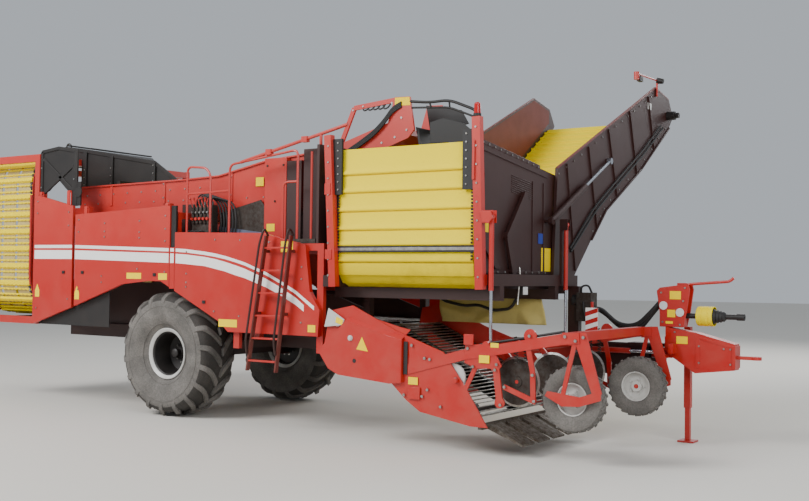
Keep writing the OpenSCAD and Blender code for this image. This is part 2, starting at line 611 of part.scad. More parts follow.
module bunker_rear_wall() place() color(maroon) {
    yz(bunker_x0, bunker_x0 + wall)
        polygon([[-1560, bunker_z0], [520, bunker_z0], [520, 2050], [400, 2200], [400, 3200], [-1560, 3300]]);
    xpin(2950, bunker_x0 + wall, knee_y, knee_z, knee_r);
}
web_t = 24;
web_r = 250;
slat_gap = 25;      // from a slat's top to the foot of the next one
web_x0 = bunker_x0 + wall + 8;
web_x1 = bunker_x1 - wall - 8;
web_low = bunker_z0 + 20;
module bunker_web() place() color(yellow) {
    y = -bunker_y + 15;
    for (p = [[y + web_r + 60, web_low + web_t + 30], [y + web_t + 24, 3300], [330, web_low + web_t + 30]])
        xpin(bunker_x0 + wall + seat, bunker_x1 - wall - seat, p[0], p[1], 22);
    yz(web_x0, web_x1) {
        polygon([[y, web_low + web_r], [y + web_t, web_low + web_r], [y + web_t, bunker_top], [y, bunker_top]]);
        polygon([[y + web_r, web_low], [380, web_low], [380, web_low + web_t], [y + web_r, web_low + web_t]]);
        difference() {
            translate([y + web_r, web_low + web_r]) circle(web_r);
            translate([y + web_r, web_low + web_r]) circle(web_r - web_t);
            translate([y + web_r, web_low - 1]) square([400, 800]);
            translate([y - 1, web_low + web_r]) square([400, 400]);
        }
    }
    // slats lapped like shingles, each with its foot standing out
    for (z = [bunker_top - slat_pitch : -slat_pitch : web_low + web_r]) {
        yz(web_x0, web_x1) polygon([[y + 1, z], [-bunker_y, z], [-bunker_y, z + 18],
            [y, z + slat_pitch - slat_gap], [y + 1, z + slat_pitch - slat_gap]]);
        box(web_x0, web_x1, y + web_t - 1, y + web_t + 20, z, z + 30);
    }
    for (x = [y + web_r : slat_pitch : 360]) box(web_x0, web_x1, x, x + 30, web_low + web_t - 1, web_low + web_t + 20);
}
module bunker_posts() place() color(red) {
    for (p = [[[2955, 3740], [3060, 1860]], [[5075, 3820], [5140, 1860]]])
        xz(-1690, -1606) polygon(strip(p[0], p[1], 104));
    box(2950, 3010, -1607, -1561, 1870, 1990);
    box(bunker_x1 + 80, bunker_x1 + 140, -1607, -1600, 1910, 2030);
    difference() {
        box(5100, bunker_x1 + 147, LIFT_Y[0] - 42, LIFT_Y[0] + 42, lift_pin[1] - 70, lift_pin[1] + 70);
        box(5170, bunker_x1 + 148, LIFT_Y[0] - 30, LIFT_Y[0] + 30, lift_pin[1] - 71, lift_pin[1] + 71);
    }
    lift_upright(bunker_x1 + 146, LIFT_Y[0], lift_pin[1] - 70);
}
module bunker_flaps() place() color(black) {
    xz(-1640, -1606) polygon([[3049, 3000], [3150, 3000], [3150, 3690], [3010.6, 3690]]);
    xz(-1640, -1606) polygon([[4880, 3000], [5049.5, 3000], [5026.6, 3690], [4880, 3690]]);
}
module lamps() place() {
    color(steel) box(bunker_x1 + 80, bunker_x1 + 150, -750, -620, 1790, bunker_z0 + 40);
    color("#c02020") both() box(cage_x0 - lamp_d, cage_x0, cage_y - cage_t, cage_y, 1900, 2200);
    color("#c03010") zpin(5075, -1650, 3822, 3990, 40);
}
module yellow_apron() place() color(yellow) xz(190, 202)
    polygon([[3500, 1400], [5050, 1400], [5080, 1660], [4980, 1790], [3450, 1790]]);

// DISCHARGE BOOM, hinged to the left of the bunker
boom_x0 = bunker_x0 - knee_gap - wall;
boom_x1 = bunker_x1 + knee_gap;
module boom_walls() place() color(maroon) {
    for (x = [boom_x0, boom_x1]) difference() {
        yz(x, x + wall) polygon(BOOM);
        xpin(x - 1, x + wall + 1, knee_y, knee_z, knee_r + fit);
    }
    xpin(boom_x1 + wall - 1, cyl_x - 31, BOOM_CYL[1][0], BOOM_CYL[1][1], 40);
}
module boom_web() place() color(yellow) {
    yz(boom_x0 + wall, boom_x1) polygon(strip([760, 2040], [4380, 4560], 30));
    for (i = [0 : 24]) let (t = (i + .5) / 25, c = [760 + 3620 * t, 2040 + 2520 * t])
        yz(boom_x0 + wall, boom_x1) polygon(strip(c, c + [-20, 29], 36));
}
module camera_arm() place() color(red) {
    x = boom_x1 + wall + 16 + seat;
    rod([x, 3850, 4860], [x, 3850, 5125], 16);
    rod([x, 3855, 5110], [x, 3000, 5080], 13);
    zpin(x, 3000, 4990, 5105, 40);
}
cyl_x = boom_x1 + wall + 45;
boom_pin_r = 22;
BOOM_CYL = [[100, 2720], [1950, 3660]];      // pin on the wall, pin on the boom
module boom_barrel() place() color(red) {
    u = unit(BOOM_CYL[1] - BOOM_CYL[0]);
    difference() {
        union() {
            rod([cyl_x, BOOM_CYL[0][0], BOOM_CYL[0][1]],
                [cyl_x, BOOM_CYL[0][0] + u[0] * 1150, BOOM_CYL[0][1] + u[1] * 1150], 40);
            xpin(cyl_x - 30, cyl_x + 30, BOOM_CYL[0][0], BOOM_CYL[0][1], 45);
        }
        rod([cyl_x, BOOM_CYL[0][0] + u[0] * 80, BOOM_CYL[0][1] + u[1] * 80],
            [cyl_x, BOOM_CYL[0][0] + u[0] * 1160, BOOM_CYL[0][1] + u[1] * 1160], 22 + fit);
        xpin(cyl_x - 41, cyl_x + 41, BOOM_CYL[0][0], BOOM_CYL[0][1], boom_pin_r + fit);
    }
}
module boom_rod() place() color(steel) {
    u = unit(BOOM_CYL[1] - BOOM_CYL[0]);
    rod([cyl_x, BOOM_CYL[1][0] - u[0] * 1760, BOOM_CYL[1][1] - u[1] * 1760],
        [cyl_x, BOOM_CYL[1][0], BOOM_CYL[1][1]], 22);
    xpin(cyl_x - 30, cyl_x + 30, BOOM_CYL[1][0], BOOM_CYL[1][1], 45);
}

// FILLING CONVEYOR over the bunker, hinged on the picking table's shaft
FILL = [[2420, 3340], [2600, 3350], [3200, 3580], [3700, 3740], [3790, 3840], [3720, 4260], [3490, 4270],
        [3390, 3950], [2610, 3720], [2420, 3500]];
module filling_conveyor() place() {
    color(red) for (y = [-1000, -230]) difference() {
        xz(y, y + 30) polygon(FILL);
        ypin(hinge_x, y - 1, y + 31, hinge_z, 30 + fit);
    }
    color(black) xz(-971, -229) polygon(strip([2640, 3500], [3640, 3830], 90));
    // mast and its tie over the near wall
    color(red) bars([[2620, 3680], [2850, 4180], [3500, 4235]], 60, -1000, -970);
}

// INTAKE: side plates, beams, rod web, shares, coulters and depth rollers
COULTER = [5590, 850];                       // centre of the disc coulters, [X, Z]
COULTER_Y = [-1600, -710, 180];              // where they stand across the intake
coulter_pin_r = 20;
SIDE = [[3250, 800], [4010, 740], [4220, 560], [4410, 440], [5080, 330], [5300, 330], [5000, 780],
        [4720, 1140], [4090, 1350], [3430, 1640], [3090, 1570], [3000, 1150], [3100, 870]];
BEAM = [[4200, 910], [5010, 1130], [5300, 1180], [6200, 1350], [6400, 1370]];
// Leg of a depth wheel, and the cranked arm and the strut that hold the wheel on it
depth_x = COULTER[0] + coulter_r + wheel_gap + depth_r;
function by_wheel(p) = [for (q = p) [depth_x, depth_z] + q];
LEG = concat([[6270, 1290], [6280, 1420], [6470, 1430]], by_wheel([[370, 90], [280, 40]]), [[6360, 1290]]);
ARM_LOW = by_wheel([[-280, 30], [-80, -70], [120, -60], [360, 20], [360, 120], [120, 40], [-250, 80]]);
STRUT = concat([[6340, 1310]], by_wheel([[-80, 10]]));
// Plate in the middle of the beam, with the ear that the front leg hangs from
PIVOT = [[5010, 1240], [5000, 1040], [5150, 980], [5330, 990], [5400, 950], [5470, 1020], [5420, 1110], [5330, 1260]];
SHANK = [[5400, 1010], [5450, 620]];         // front leg with its foot
SCRAPER = [[5150, 1010], [4960, 640]];
DISC_ARM = [[5500, 800], [5890, 660]];       // arm beside the coulter, and its upright
DISC_POST = [[5860, 660], [5850, 980], [5790, 1260]];
module intake_frame() place() color(red) {
    for (y = [intake_y0, intake_y1 - plate]) {
        difference() {
            xz(y, y + plate) polygon(SIDE);
            ypin(lift_x, y - 1, y + plate + 1, lift_z, lift_r + fit);
        }
        bars(BEAM, 115, y - 10, y + plate + 10);
        xz(y, y + plate) {
            polygon(LEG);
            polygon(ARM_LOW);
            polygon(PIVOT);
            polygon(strip(STRUT[0], STRUT[1], 46));
            polygon(strip(SHANK[0], SHANK[1], 80));
            translate(SHANK[1]) circle(60);
            polygon(strip(SCRAPER[0], SCRAPER[1], 50));
            polygon(strip(DISC_ARM[0], DISC_ARM[1], 56));
            translate([5820, 1370]) circle(75);
            for (i = [0, 1]) polygon(strip(DISC_POST[i], DISC_POST[i + 1], 56));
        }
    }
    // stub pins of the depth wheels
    ypin(depth_x, intake_y0 + plate - 1, WHEEL_Y[0] + hub_l, depth_z, depth_pin_r);
    ypin(depth_x, WHEEL_Y[1] - hub_l, intake_y1 - plate + 1, depth_z, depth_pin_r);
    box(6200, 6300, intake_y0, intake_y1, 1320, 1420);
    box(4380, 4460, intake_y0, intake_y1, 575, 655);
    ypin(5400, intake_y0, intake_y1, 1190, 45);
    for (s = [0, 1]) ypin(lift_eye[0], s ? LIFT_Y[1] + 26 : intake_y0 - 10,
        s ? intake_y1 : LIFT_Y[0] - 26, lift_eye[1], 40);
    for (c = COULTER_Y) {
        bars([[5400, 1190], [5540, 1030], COULTER], 60, c + 12, c + 44);
        ypin(COULTER[0], c - 14, c + 13, COULTER[1], coulter_pin_r);
    }
}
SIEVE = [[3400, 1290], [5060, 500]];         // shafts of the sieving web, [X, Z]
module intake_web() place() color(steel) {
    rod_web(SIEVE[0], SIEVE[1], 85, intake_y0 + plate + 40, intake_y1 - plate - 40, web_pitch);
    for (c = SIEVE) ypin(c[0], intake_y0 + plate + seat, intake_y1 - plate - seat, c[1], 25);
}
module share_blades() place() color(grey) {
    for (i = [0 : 4]) let (y = -1560 + i * 390)
        xz(y, y + 300) polygon([[5180, 300], [5640, 130], [5640, 150], [5190, 360]]);
    box(5170, 5230, intake_y0 + plate, intake_y1 - plate, 300, 360);
}
COVER = [[2950, 1070], [3100, 870], [3250, 800], [4010, 740], [4170, 760], [4170, 1260], [4010, 1290],
         [3360, 1460], [3240, 1340], [3140, 1280]];
module drive_cover() place() color(red) difference() {
    xz(right_y, intake_y0) polygon(COVER);
    xz(right_y + sheet, intake_y0 + 1) polygon(inset(COVER, sheet));
}
module coulter_discs() place() color(steel) for (y = COULTER_Y)
    difference() {
        union() {
            ypin(COULTER[0], y - 4, y + 4, COULTER[1], coulter_r);
            ypin(COULTER[0], y - 12, y + 6, COULTER[1], 60);
        }
        ypin(COULTER[0], y - 15, y + 15, COULTER[1], coulter_pin_r + fit);
    }
// DEPTH WHEELS at the intake's front corners: a small tyre on a disc rim
depth_pin_r = 25;
hub_l = 55;         // half the length of a hub
WHEEL_Y = [intake_y0 + 150, intake_y1 - 150];
// Fractions of the way from bead to crown, and of half the tyre's width
DEPTH_TYRE = [[0, .75], [.3, .97], [.7, 1], [.92, .84], [1, .5]];
module depth_place() for (y = WHEEL_Y) translate([depth_x, y, depth_z]) rotate([-90, 0, 0]) children();
module depth_tyres() place() color(black) depth_place()
    facet_ring(both_beads([for (t = DEPTH_TYRE)
        [depth_rim + t[0] * (depth_r - depth_rim), t[1] * depth_w / 2]]), 24);
DEPTH_RIM = [[depth_rim - seat, .37 * depth_w], [depth_rim - 14, .37 * depth_w], [depth_rim - 14, 8], [60, 8],
    [60, hub_l], [depth_pin_r + fit, hub_l]];
module depth_rims() place() color(steel) depth_place() rotate_extrude() polygon(both_beads(DEPTH_RIM));
lift_eye = [5275, 1250];
lift_pin = [5275, 2680];
lift_pin_r = 16;
LIFT_Y = [-1648, 290];
module lift_barrels() place() color(red) for (y = LIFT_Y) difference() {
    union() {
        zpin(lift_pin[0], y, 1850, lift_pin[1], 28);
        ypin(lift_pin[0], y - 25, y + 25, lift_pin[1], 34);
    }
    zpin(lift_pin[0], y, 1849, 2620, 18 + fit);
    ypin(lift_pin[0], y - 35, y + 35, lift_pin[1], lift_pin_r + fit);
}
module lift_rods() place() color(steel) for (y = LIFT_Y) {
    zpin(lift_eye[0], y, lift_eye[1], 2330, 18);
    ypin(lift_eye[0], y - 25, y + 25, lift_eye[1], 34);
}

// DRAWBAR: cranked box beam, tow eye, hose tower and the input shaft
TONGUE = [[6480, 1110], [6850, 870], [7330, 930], [7330, 1240], [6860, 1360], [6480, 1420]];
module drawbar() place() color(red) {
    xz(swing_y - 90, swing_y + 90) polygon(TONGUE);
    box(swing_x, 6490, swing_y - 80, swing_y + 80, rail_z + 40, rail_top - 40);
    box(6468, 6560, swing_y - 80, swing_y + 80, rail_z + 40, 1300);
    zpin(swing_x, swing_y, rail_z + 40, rail_top - 40, 80);
    zpin(swing_x, swing_y, rail_z - 30, rail_top + 30, swing_r);
    difference() {
        union() {
            box(7320, eye_x, swing_y - 45, swing_y + 45, eye_z - eye_t / 2, eye_z + eye_t / 2);
            zpin(eye_x, swing_y, eye_z - eye_t / 2, eye_z + eye_t / 2, 60);
        }
        zpin(eye_x, swing_y, eye_z - eye_t, eye_z + eye_t, eye_r);
    }
    // lug under the steering cylinder's eye
    box(steer_eye - 12, steer_eye + 42, STEER[1] - 34, swing_y - 79, rail_z + 40, steer_z - 25);
    // parking jack with its foot on the ground
    box(6640, 6720, swing_y + 89, swing_y + 130, 1000, 1150);
    box(6640, 6720, swing_y + 129, swing_y + 209, 420, 1420);
    box(6650, 6710, swing_y + 139, swing_y + 199, 20 - rise, 421);
    box(6580, 6780, swing_y + 69, swing_y + 269, -rise, 21 - rise);
}
steer_z = 1110;
STEER = [5350, 500];                         // upright pin of the steering cylinder
steer_eye = swing_x + steer_arm;
steer_len = steer_eye - STEER[0];
module steer_barrel() place() color(red) difference() {
    union() {
        xpin(STEER[0], STEER[0] + steer_len - 420, STEER[1], steer_z, 34);
        zpin(STEER[0], STEER[1], steer_z - 38, steer_z + 38, 44);
    }
    xpin(STEER[0] + 70, STEER[0] + steer_len - 419, STEER[1], steer_z, 20 + fit);
    zpin(STEER[0], STEER[1], steer_z - 39, steer_z + 39, 16 + fit);
}
module steer_rod() place() color(steel) {
    xpin(STEER[0] + 210, steer_eye, STEER[1], steer_z, 20);
    zpin(steer_eye, STEER[1], steer_z - 24, steer_z + 24, 34);
}
module hose_tower() place() color(red) {
    box(6480, 6700, swing_y - 60, swing_y - 40, 1420, 1950);
    box(6480, 6700, swing_y + 40, swing_y + 60, 1420, 1950);
    box(6640, 6700, swing_y - 41, swing_y + 41, 1420, 1950);
    rod([6650, swing_y, 1930], [7300, swing_y, 2010], 18);
}
module input_shaft() place() color(black) {
    xpin(6700, 7330, swing_y, 1560, 32);
    difference() {
        xpin(7330, 7420, swing_y, 1560, 40);
        xpin(7340, 7421, swing_y, 1560, pto_r);
    }
}
module shaft_guard() place() color(yellow) difference() {
    xpin(6860, 7060, swing_y, 1560, 120);
    xpin(6880, 7061, swing_y, 1560, 110);
    xpin(6850, 6890, swing_y, 1560, 32.4);
}

chassis_frame();
cross_members();
axle_beam();
body_frame();
rear_cage();
ring_elevator();
ring_corners();
ring_carriers();
main_channel();
main_web();
separator_rollers();
picking_walls();
picking_web();
rear_hood();
front_panels();
platform();
gate_wall();
ladder();
handrails();
valve_block();
bunker_base();
bunker_front_wall();
bunker_rear_wall();
bunker_web();
bunker_posts();
bunker_flaps();
lamps();
yellow_apron();
rear_door_right();
rear_door_left();
mid_door_right();
mid_door_left();
knuckle_left();
knuckle_right();
tie_rod();
tyre_left();
tyre_right();
rim_left();
rim_right();
boom_walls();
boom_web();
camera_arm();
boom_barrel();
boom_rod();
filling_conveyor();
intake_frame();
intake_web();
share_blades();
drive_cover();
coulter_discs();
depth_tyres();
depth_rims();
lift_barrels();
lift_rods();
steer_barrel();
steer_rod();
drawbar();
hose_tower();
input_shaft();
shaft_guard();
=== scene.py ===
"""A trailed two-row potato harvester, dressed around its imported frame."""

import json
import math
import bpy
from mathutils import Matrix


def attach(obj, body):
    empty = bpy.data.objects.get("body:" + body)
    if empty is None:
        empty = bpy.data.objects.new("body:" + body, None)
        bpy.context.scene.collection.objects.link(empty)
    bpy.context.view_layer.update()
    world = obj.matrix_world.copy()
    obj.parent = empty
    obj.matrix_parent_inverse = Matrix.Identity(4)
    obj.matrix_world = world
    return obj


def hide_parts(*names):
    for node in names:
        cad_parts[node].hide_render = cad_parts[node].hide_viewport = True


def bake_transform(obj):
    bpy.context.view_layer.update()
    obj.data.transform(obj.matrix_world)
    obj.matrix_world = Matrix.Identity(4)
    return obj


bl_info = {
    "name": "Potato Harvester Dressing",
    "version": (1, 0, 0),
    "blender": (4, 5, 0),
    "location": "View3D > Sidebar > Harvester",
    "description": "Builds the finish and the detail of a trailed potato harvester",
    "category": "Object",
}

import bmesh
import bpy
from bpy.props import FloatProperty, FloatVectorProperty, IntProperty, PointerProperty
from mathutils import Matrix, Vector

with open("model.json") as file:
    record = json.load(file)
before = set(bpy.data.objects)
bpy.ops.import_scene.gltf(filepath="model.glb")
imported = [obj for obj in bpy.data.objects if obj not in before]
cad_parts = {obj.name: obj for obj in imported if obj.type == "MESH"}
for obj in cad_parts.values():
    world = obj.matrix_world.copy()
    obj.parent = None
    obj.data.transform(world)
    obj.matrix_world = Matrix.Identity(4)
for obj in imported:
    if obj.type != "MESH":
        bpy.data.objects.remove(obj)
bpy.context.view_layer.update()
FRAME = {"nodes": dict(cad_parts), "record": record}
# The frame's origin, measured from the middle of the axle on the ground
MIDDLE = Vector((1.62, 1.41, 0.0))
SIDES = ((-1, "right"), (1, "left"))
FINISHES = {}


def linear(colour):
    """A hex colour as linear red, green, blue and alpha."""
    parts = [int(colour[i : i + 2], 16) / 255 for i in (1, 3, 5)]
    return tuple(c / 12.92 if c <= 0.04045 else ((c + 0.055) / 1.055) ** 2.4 for c in parts) + (1.0,)


def at(x, y, z):
    """A place measured from the axle, in the frame's own coordinates."""
    return Vector((x, y, z)) - MIDDLE


# Shapes


def thicken(bm, faces, step):
    """Makes faces solid by drawing them out along a step."""
    grown = bmesh.ops.extrude_face_region(bm, geom=faces)["geom"]
    bmesh.ops.translate(bm, vec=step, verts=[g for g in grown if isinstance(g, bmesh.types.BMVert)])


def slab(bm, outline, axis, low, high):
    """A flat outline across X or Y made solid from low to high along that axis."""
    spots = [at(low, a, b) if axis == "x" else at(a, low, b) for a, b in outline]
    face = bm.faces.new([bm.verts.new(spot) for spot in spots])
    thicken(bm, [face], Vector([(high - low) * (axis == n) for n in "xyz"]))


def cube(bm, middle, size, turn=None):
    """A block about its middle, in the mesh's own coordinates."""
    place = Matrix.Translation(middle) @ (turn or Matrix.Identity(4)) @ Matrix.Diagonal((*size, 1))
    bmesh.ops.create_cube(bm, size=1, matrix=place)


def beam(bm, start, end, width, height):
    """A square bar between two places."""
    a, b = at(*start), at(*end)
    turn = (b - a).to_track_quat("X", "Z").to_matrix().to_4x4()
    cube(bm, (a + b) / 2, ((b - a).length, width, height), turn)


def block(bm, low, high):
    """A square block between its lowest and highest corner."""
    a, b = at(*low), at(*high)
    cube(bm, (a + b) / 2, b - a)


def strips(lines, y, width, height):
    """Beams along lines of X and Z, standing at one Y, as parts of a piece."""
    return [(beam, (a[0], y, a[1]), (b[0], y, b[1]), width, height) for a, b in lines]


def pin(bm, start, end, radius, sides=16, end_radius=None):
    """A round bar between two places."""
    a, b = at(*start), at(*end)
    turn = (b - a).to_track_quat("Z", "Y").to_matrix().to_4x4()
    far = radius if end_radius is None else end_radius
    place = Matrix.Translation((a + b) / 2) @ turn
    cone = {"segments": sides, "radius1": radius, "radius2": far, "depth": (b - a).length}
    bmesh.ops.create_cone(bm, cap_ends=True, matrix=place, **cone)


def ball(bm, place, radius, squash=(1, 1, 1)):
    """A round knob, squashed along the axes."""
    turn = Matrix.Translation(at(*place)) @ Matrix.Diagonal((*squash, 1))
    bmesh.ops.create_uvsphere(bm, u_segments=20, v_segments=12, radius=radius, matrix=turn)


def rounded(places, bend, steps=5):
    """A path with its corners turned into bends."""
    points = [Vector(p) for p in places]
    path = [points[0]]
    for before, corner, after in zip(points, points[1:], points[2:]):
        room = min(bend, (corner - before).length / 2, (after - corner).length / 2)
        a = corner + (before - corner).normalized() * room
        b = corner + (after - corner).normalized() * room
        for t in (i / steps for i in range(steps + 1)):
            path.append(a * (1 - t) ** 2 + corner * 2 * t * (1 - t) + b * t * t)
    return path + [points[-1]]


def tube(bm, places, radius, sides=10, bend=0.0):
    """A round pipe along a path."""
    path = [at(*p) for p in (rounded(places, bend) if bend else places)]
    ways = [(b - a).normalized() for a, b in zip([path[0]] + path[:-1], path[1:] + [path[-1]])]
    ways[0] = (path[1] - path[0]).normalized()
    turn = ways[0].to_track_quat("Z", "Y")
    frame = Matrix.Translation(path[0]) @ turn.to_matrix().to_4x4()
    made = bmesh.ops.create_circle(bm, cap_ends=True, radius=radius, segments=sides, matrix=frame)
    edges = list({e for v in made["verts"] for e in v.link_edges})
    for point, way, last in zip(path[1:], ways[1:], ways):
        turn = last.rotation_difference(way) @ turn
        following = Matrix.Translation(point) @ turn.to_matrix().to_4x4()
        grown = bmesh.ops.extrude_edge_only(bm, edges=edges)["geom"]
        new = [g for g in grown if isinstance(g, bmesh.types.BMVert)]
        bmesh.ops.transform(bm, matrix=following @ frame.inverted(), verts=new)
        edges = [g for g in grown if isinstance(g, bmesh.types.BMEdge) and all(v in new for v in g.verts)]
        frame = following
    bmesh.ops.contextual_create(bm, geom=edges)


def bolts(bm, places, way, radius=None, height=0.009):
    """Hexagon heads standing up along a way, of the radius set for all or their own."""
    for place in places:
        pin(bm, place, Vector(place) + Vector(way) * height, radius or sizes().bolt, sides=6)


def linked(bm, points, closed=True):
    """New vertices at points, and the edges from each to the next."""
    verts = [bm.verts.new(p) for p in points]
    return verts, [bm.edges.new(pair) for pair in zip(verts, verts[1:] + verts[:1] if closed else verts[1:])]


def revolved(bm, profile, steps, closed=True):
    """Spins a profile of (radius, along the axle) about Z."""
    verts, edges = linked(bm, [(r, 0, z) for r, z in profile], closed)
    bmesh.ops.spin(
        bm, geom=verts + edges, cent=(0, 0, 0), axis=(0, 0, 1), angle=math.tau, steps=steps, use_merge=True
    )


def nuts(bm, count, reach, height, radius, top, depth):
    """Hexagon nuts in a circle about Z."""
    for i in range(count):
        turn = Matrix.Rotation(math.tau * i / count, 4, "Z") @ Matrix.Translation((reach, 0, height))
        cone = {"segments": 6, "radius1": radius, "radius2": top, "depth": depth}
        bmesh.ops.create_cone(bm, cap_ends=True, matrix=turn, **cone)


def repeated(part, places):
    """A new mesh with a copy of a part at each matrix."""
    source = bpy.data.meshes.new("part")
    part.to_mesh(source)
    part.free()
    whole = bmesh.new()
    for place in places:
        copy = source.copy()
        copy.transform(place)
        whole.from_mesh(copy)
        bpy.data.meshes.remove(copy)
    bpy.data.meshes.remove(source)
    return whole


def between(start, end, count):
    """Places spread evenly from start to end."""
    return [Vector(start).lerp(Vector(end), i / (count - 1)) for i in range(count)]


def turned(middle, reach, angle):
    """A point at a reach from a middle, both flat, in a direction in radians."""
    return Vector(middle) + Vector((math.cos(angle), math.sin(angle))) * reach


def mirrored(profile, middle=()):
    """A half profile, what lies on the middle, and the half turned over."""
    return [*profile, *middle] + [(r, -z) for r, z in reversed(profile)]


def framed(x, z, width, height):
    """The corners of an upright rectangle about its middle."""
    w, h = width / 2, height / 2
    return [(x - w, z - h), (x + w, z - h), (x + w, z + h), (x - w, z + h)]


def shapes(*parts):
    """A mesh made by running each shape function with its values."""
    bm = bmesh.new()
    for shape, *values in parts:
        shape(bm, *values)
    return bm


def make(name, bm, finish, body, replaces=(), edge=0.0, smooth=35.0, weld=True):
    """Turns a finished mesh into a piece of the machine."""
    if weld:
        bmesh.ops.remove_doubles(bm, verts=bm.verts, dist=1e-5)
    bmesh.ops.recalc_face_normals(bm, faces=bm.faces)
    mesh = bpy.data.meshes.new(name)
    bm.to_mesh(mesh)
    bm.free()
    for face in mesh.polygons:
        face.use_smooth = True
    mesh.set_sharp_from_angle(angle=math.radians(smooth))
    mesh.materials.append(FINISHES[finish][0])
    piece = bpy.data.objects.new(name, mesh)
    bpy.context.scene.collection.objects.link(piece)
    if edge:
        soft = piece.modifiers.new("soft edges", "BEVEL")
        soft.width = edge
        soft.segments = 2
        soft.limit_method = "ANGLE"
        soft.angle_limit = math.radians(40)
    if body:
        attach(piece, body)
    if replaces:
        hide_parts(*replaces)
    return piece


def build(name, finish, body, *parts, **how):
    """A piece made of shapes, each given as a function and its values."""
    return make(name, shapes(*parts), finish, body, **how)


# Materials


def add_node(tree, kind, links=None, inputs=None, **settings):
    """Adds a node with its settings, its values and the links into it."""
    node = tree.nodes.new(kind)
    for name, value in settings.items():
        setattr(node, name, value)
    for name, value in (inputs or {}).items():
        node.inputs[name].default_value = value
    for name, output in (links or {}).items():
        tree.links.new(output, node.inputs[name])
    return node


def new_material(name, slot):
    """An empty material with its shader, under the name of a finish."""
    material = bpy.data.materials.new(name)
    material.use_nodes = True
    tree = material.node_tree
    tree.nodes.clear()
    shader = add_node(tree, "ShaderNodeBsdfPrincipled")
    add_node(tree, "ShaderNodeOutputMaterial", {"Surface": shader.outputs["BSDF"]})
    place = add_node(tree, "ShaderNodeTexCoord")
    FINISHES[name] = (material, slot)
    return tree, shader, place.outputs["Object"]


def clouds(tree, place, size, detail=4.0, roughness=0.55):
    """Noise whose patches are about one size, in metres."""
    values = {"Scale": 1 / size, "Detail": detail, "Roughness": roughness}
    return add_node(tree, "ShaderNodeTexNoise", {"Vector": place}, values).outputs["Fac"]


def spread(tree, value, low, high, to_low=0.0, to_high=1.0):
    """Stretches a value's range onto another."""
    values = {"From Min": low, "From Max": high, "To Min": to_low, "To Max": to_high}
    return add_node(tree, "ShaderNodeMapRange", {"Value": value}, values).outputs["Result"]


def joined(tree, a, b, operation="MULTIPLY"):
    """The product of two values, or what another operation makes of them."""
    return add_node(tree, "ShaderNodeMath", {0: a, 1: b}, operation=operation).outputs[0]


def mixed(tree, share, under, over):
    """One colour laid over another by a share; each is a socket or a colour."""
    node = add_node(tree, "ShaderNodeMix", {"Factor": share}, data_type="RGBA")
    for index, colour in ((6, under), (7, over)):
        if isinstance(colour, bpy.types.NodeSocket):
            tree.links.new(colour, node.inputs[index])
        else:
            node.inputs[index].default_value = colour
    return node.outputs[2]


def bumped(tree, shader, height, strength, distance):
    """Relief from a value, in metres."""
    values = {"Strength": strength, "Distance": distance}
    bump = add_node(tree, "ShaderNodeBump", {"Height": height}, values)
    tree.links.new(bump.outputs["Normal"], shader.inputs["Normal"])


def height_above(tree, place, low, high):
    """One at the low height above the ground, none at the high one."""
    up = add_node(tree, "ShaderNodeSeparateXYZ", {"Vector": place}).outputs["Z"]
    return spread(tree, up, low, high, 1.0, 0.0)


def finished(tree, shader, colour, roughness, **values):
    """Gives the shader its colour, its roughness and its other values."""
    for name, value in (("Base Color", colour), ("Roughness", roughness), *values.items()):
        socket = shader.inputs[name.replace("_", " ")]
        if isinstance(value, bpy.types.NodeSocket):
            tree.links.new(value, socket)
        else:
            socket.default_value = value


def painted_steel(name, slot, colour, faded, dust, roughness, dusty, coat=0.3):
    """Sprayed enamel on sheet steel: a smooth coat that fades in patches and towards
    the top, where the sun and the rain reach it, and whose paler top is also painted
    sky reflection; with dry soil dust that thickens towards the ground."""
    tree, shader, place = new_material(name, slot)
    # paler towards the top: partly sun-faded paint, partly painted sky reflection
    high = height_above(tree, place, 1.7, 3.6)
    patch = clouds(tree, place, 0.7)
    fading = spread(tree, patch, 0.25, 0.75, 0.55, 1.0)
    fade_and_sky_sheen = joined(tree, fading, spread(tree, high, 0.0, 1.0, 1.0, 0.12))
    base = mixed(tree, fade_and_sky_sheen, colour, faded)
    low = height_above(tree, place, 0.2, 2.0)
    fine = spread(tree, clouds(tree, place, 0.28, 9.0, 0.62), 0.36, 0.78)
    settled = spread(tree, low, 0.0, 1.0, 0.25, 1.0)
    film = joined(tree, settled, spread(tree, fine, 0, 1, 0, dusty))
    base = mixed(tree, film, base, dust)
    rough = spread(tree, film, 0.0, dusty, roughness, roughness + 0.3)
    finished(tree, shader, base, rough, Coat_Weight=coat, Coat_Roughness=0.18)
    # orange peel of the sprayed coat, drawn at 12 mm so that it shows
    bumped(tree, shader, clouds(tree, place, 0.012, 2.0), 0.12, 0.0006)


def plain_steel(name, slot, colour, stain, roughness, metallic, grain):
    """Bare or plated steel: a metal whose brightness is broken by stains."""
    tree, shader, place = new_material(name, slot)
    worn = spread(tree, clouds(tree, place, grain, 6.0, 0.7), 0.35, 0.7)
    tone = mixed(tree, worn, colour, stain)
    rough = spread(tree, worn, 0, 1, roughness, min(1.0, roughness + 0.25))
    finished(tree, shader, tone, rough, Metallic=metallic)
    bumped(tree, shader, clouds(tree, place, 0.006, 3.0), 0.15, 0.0004)


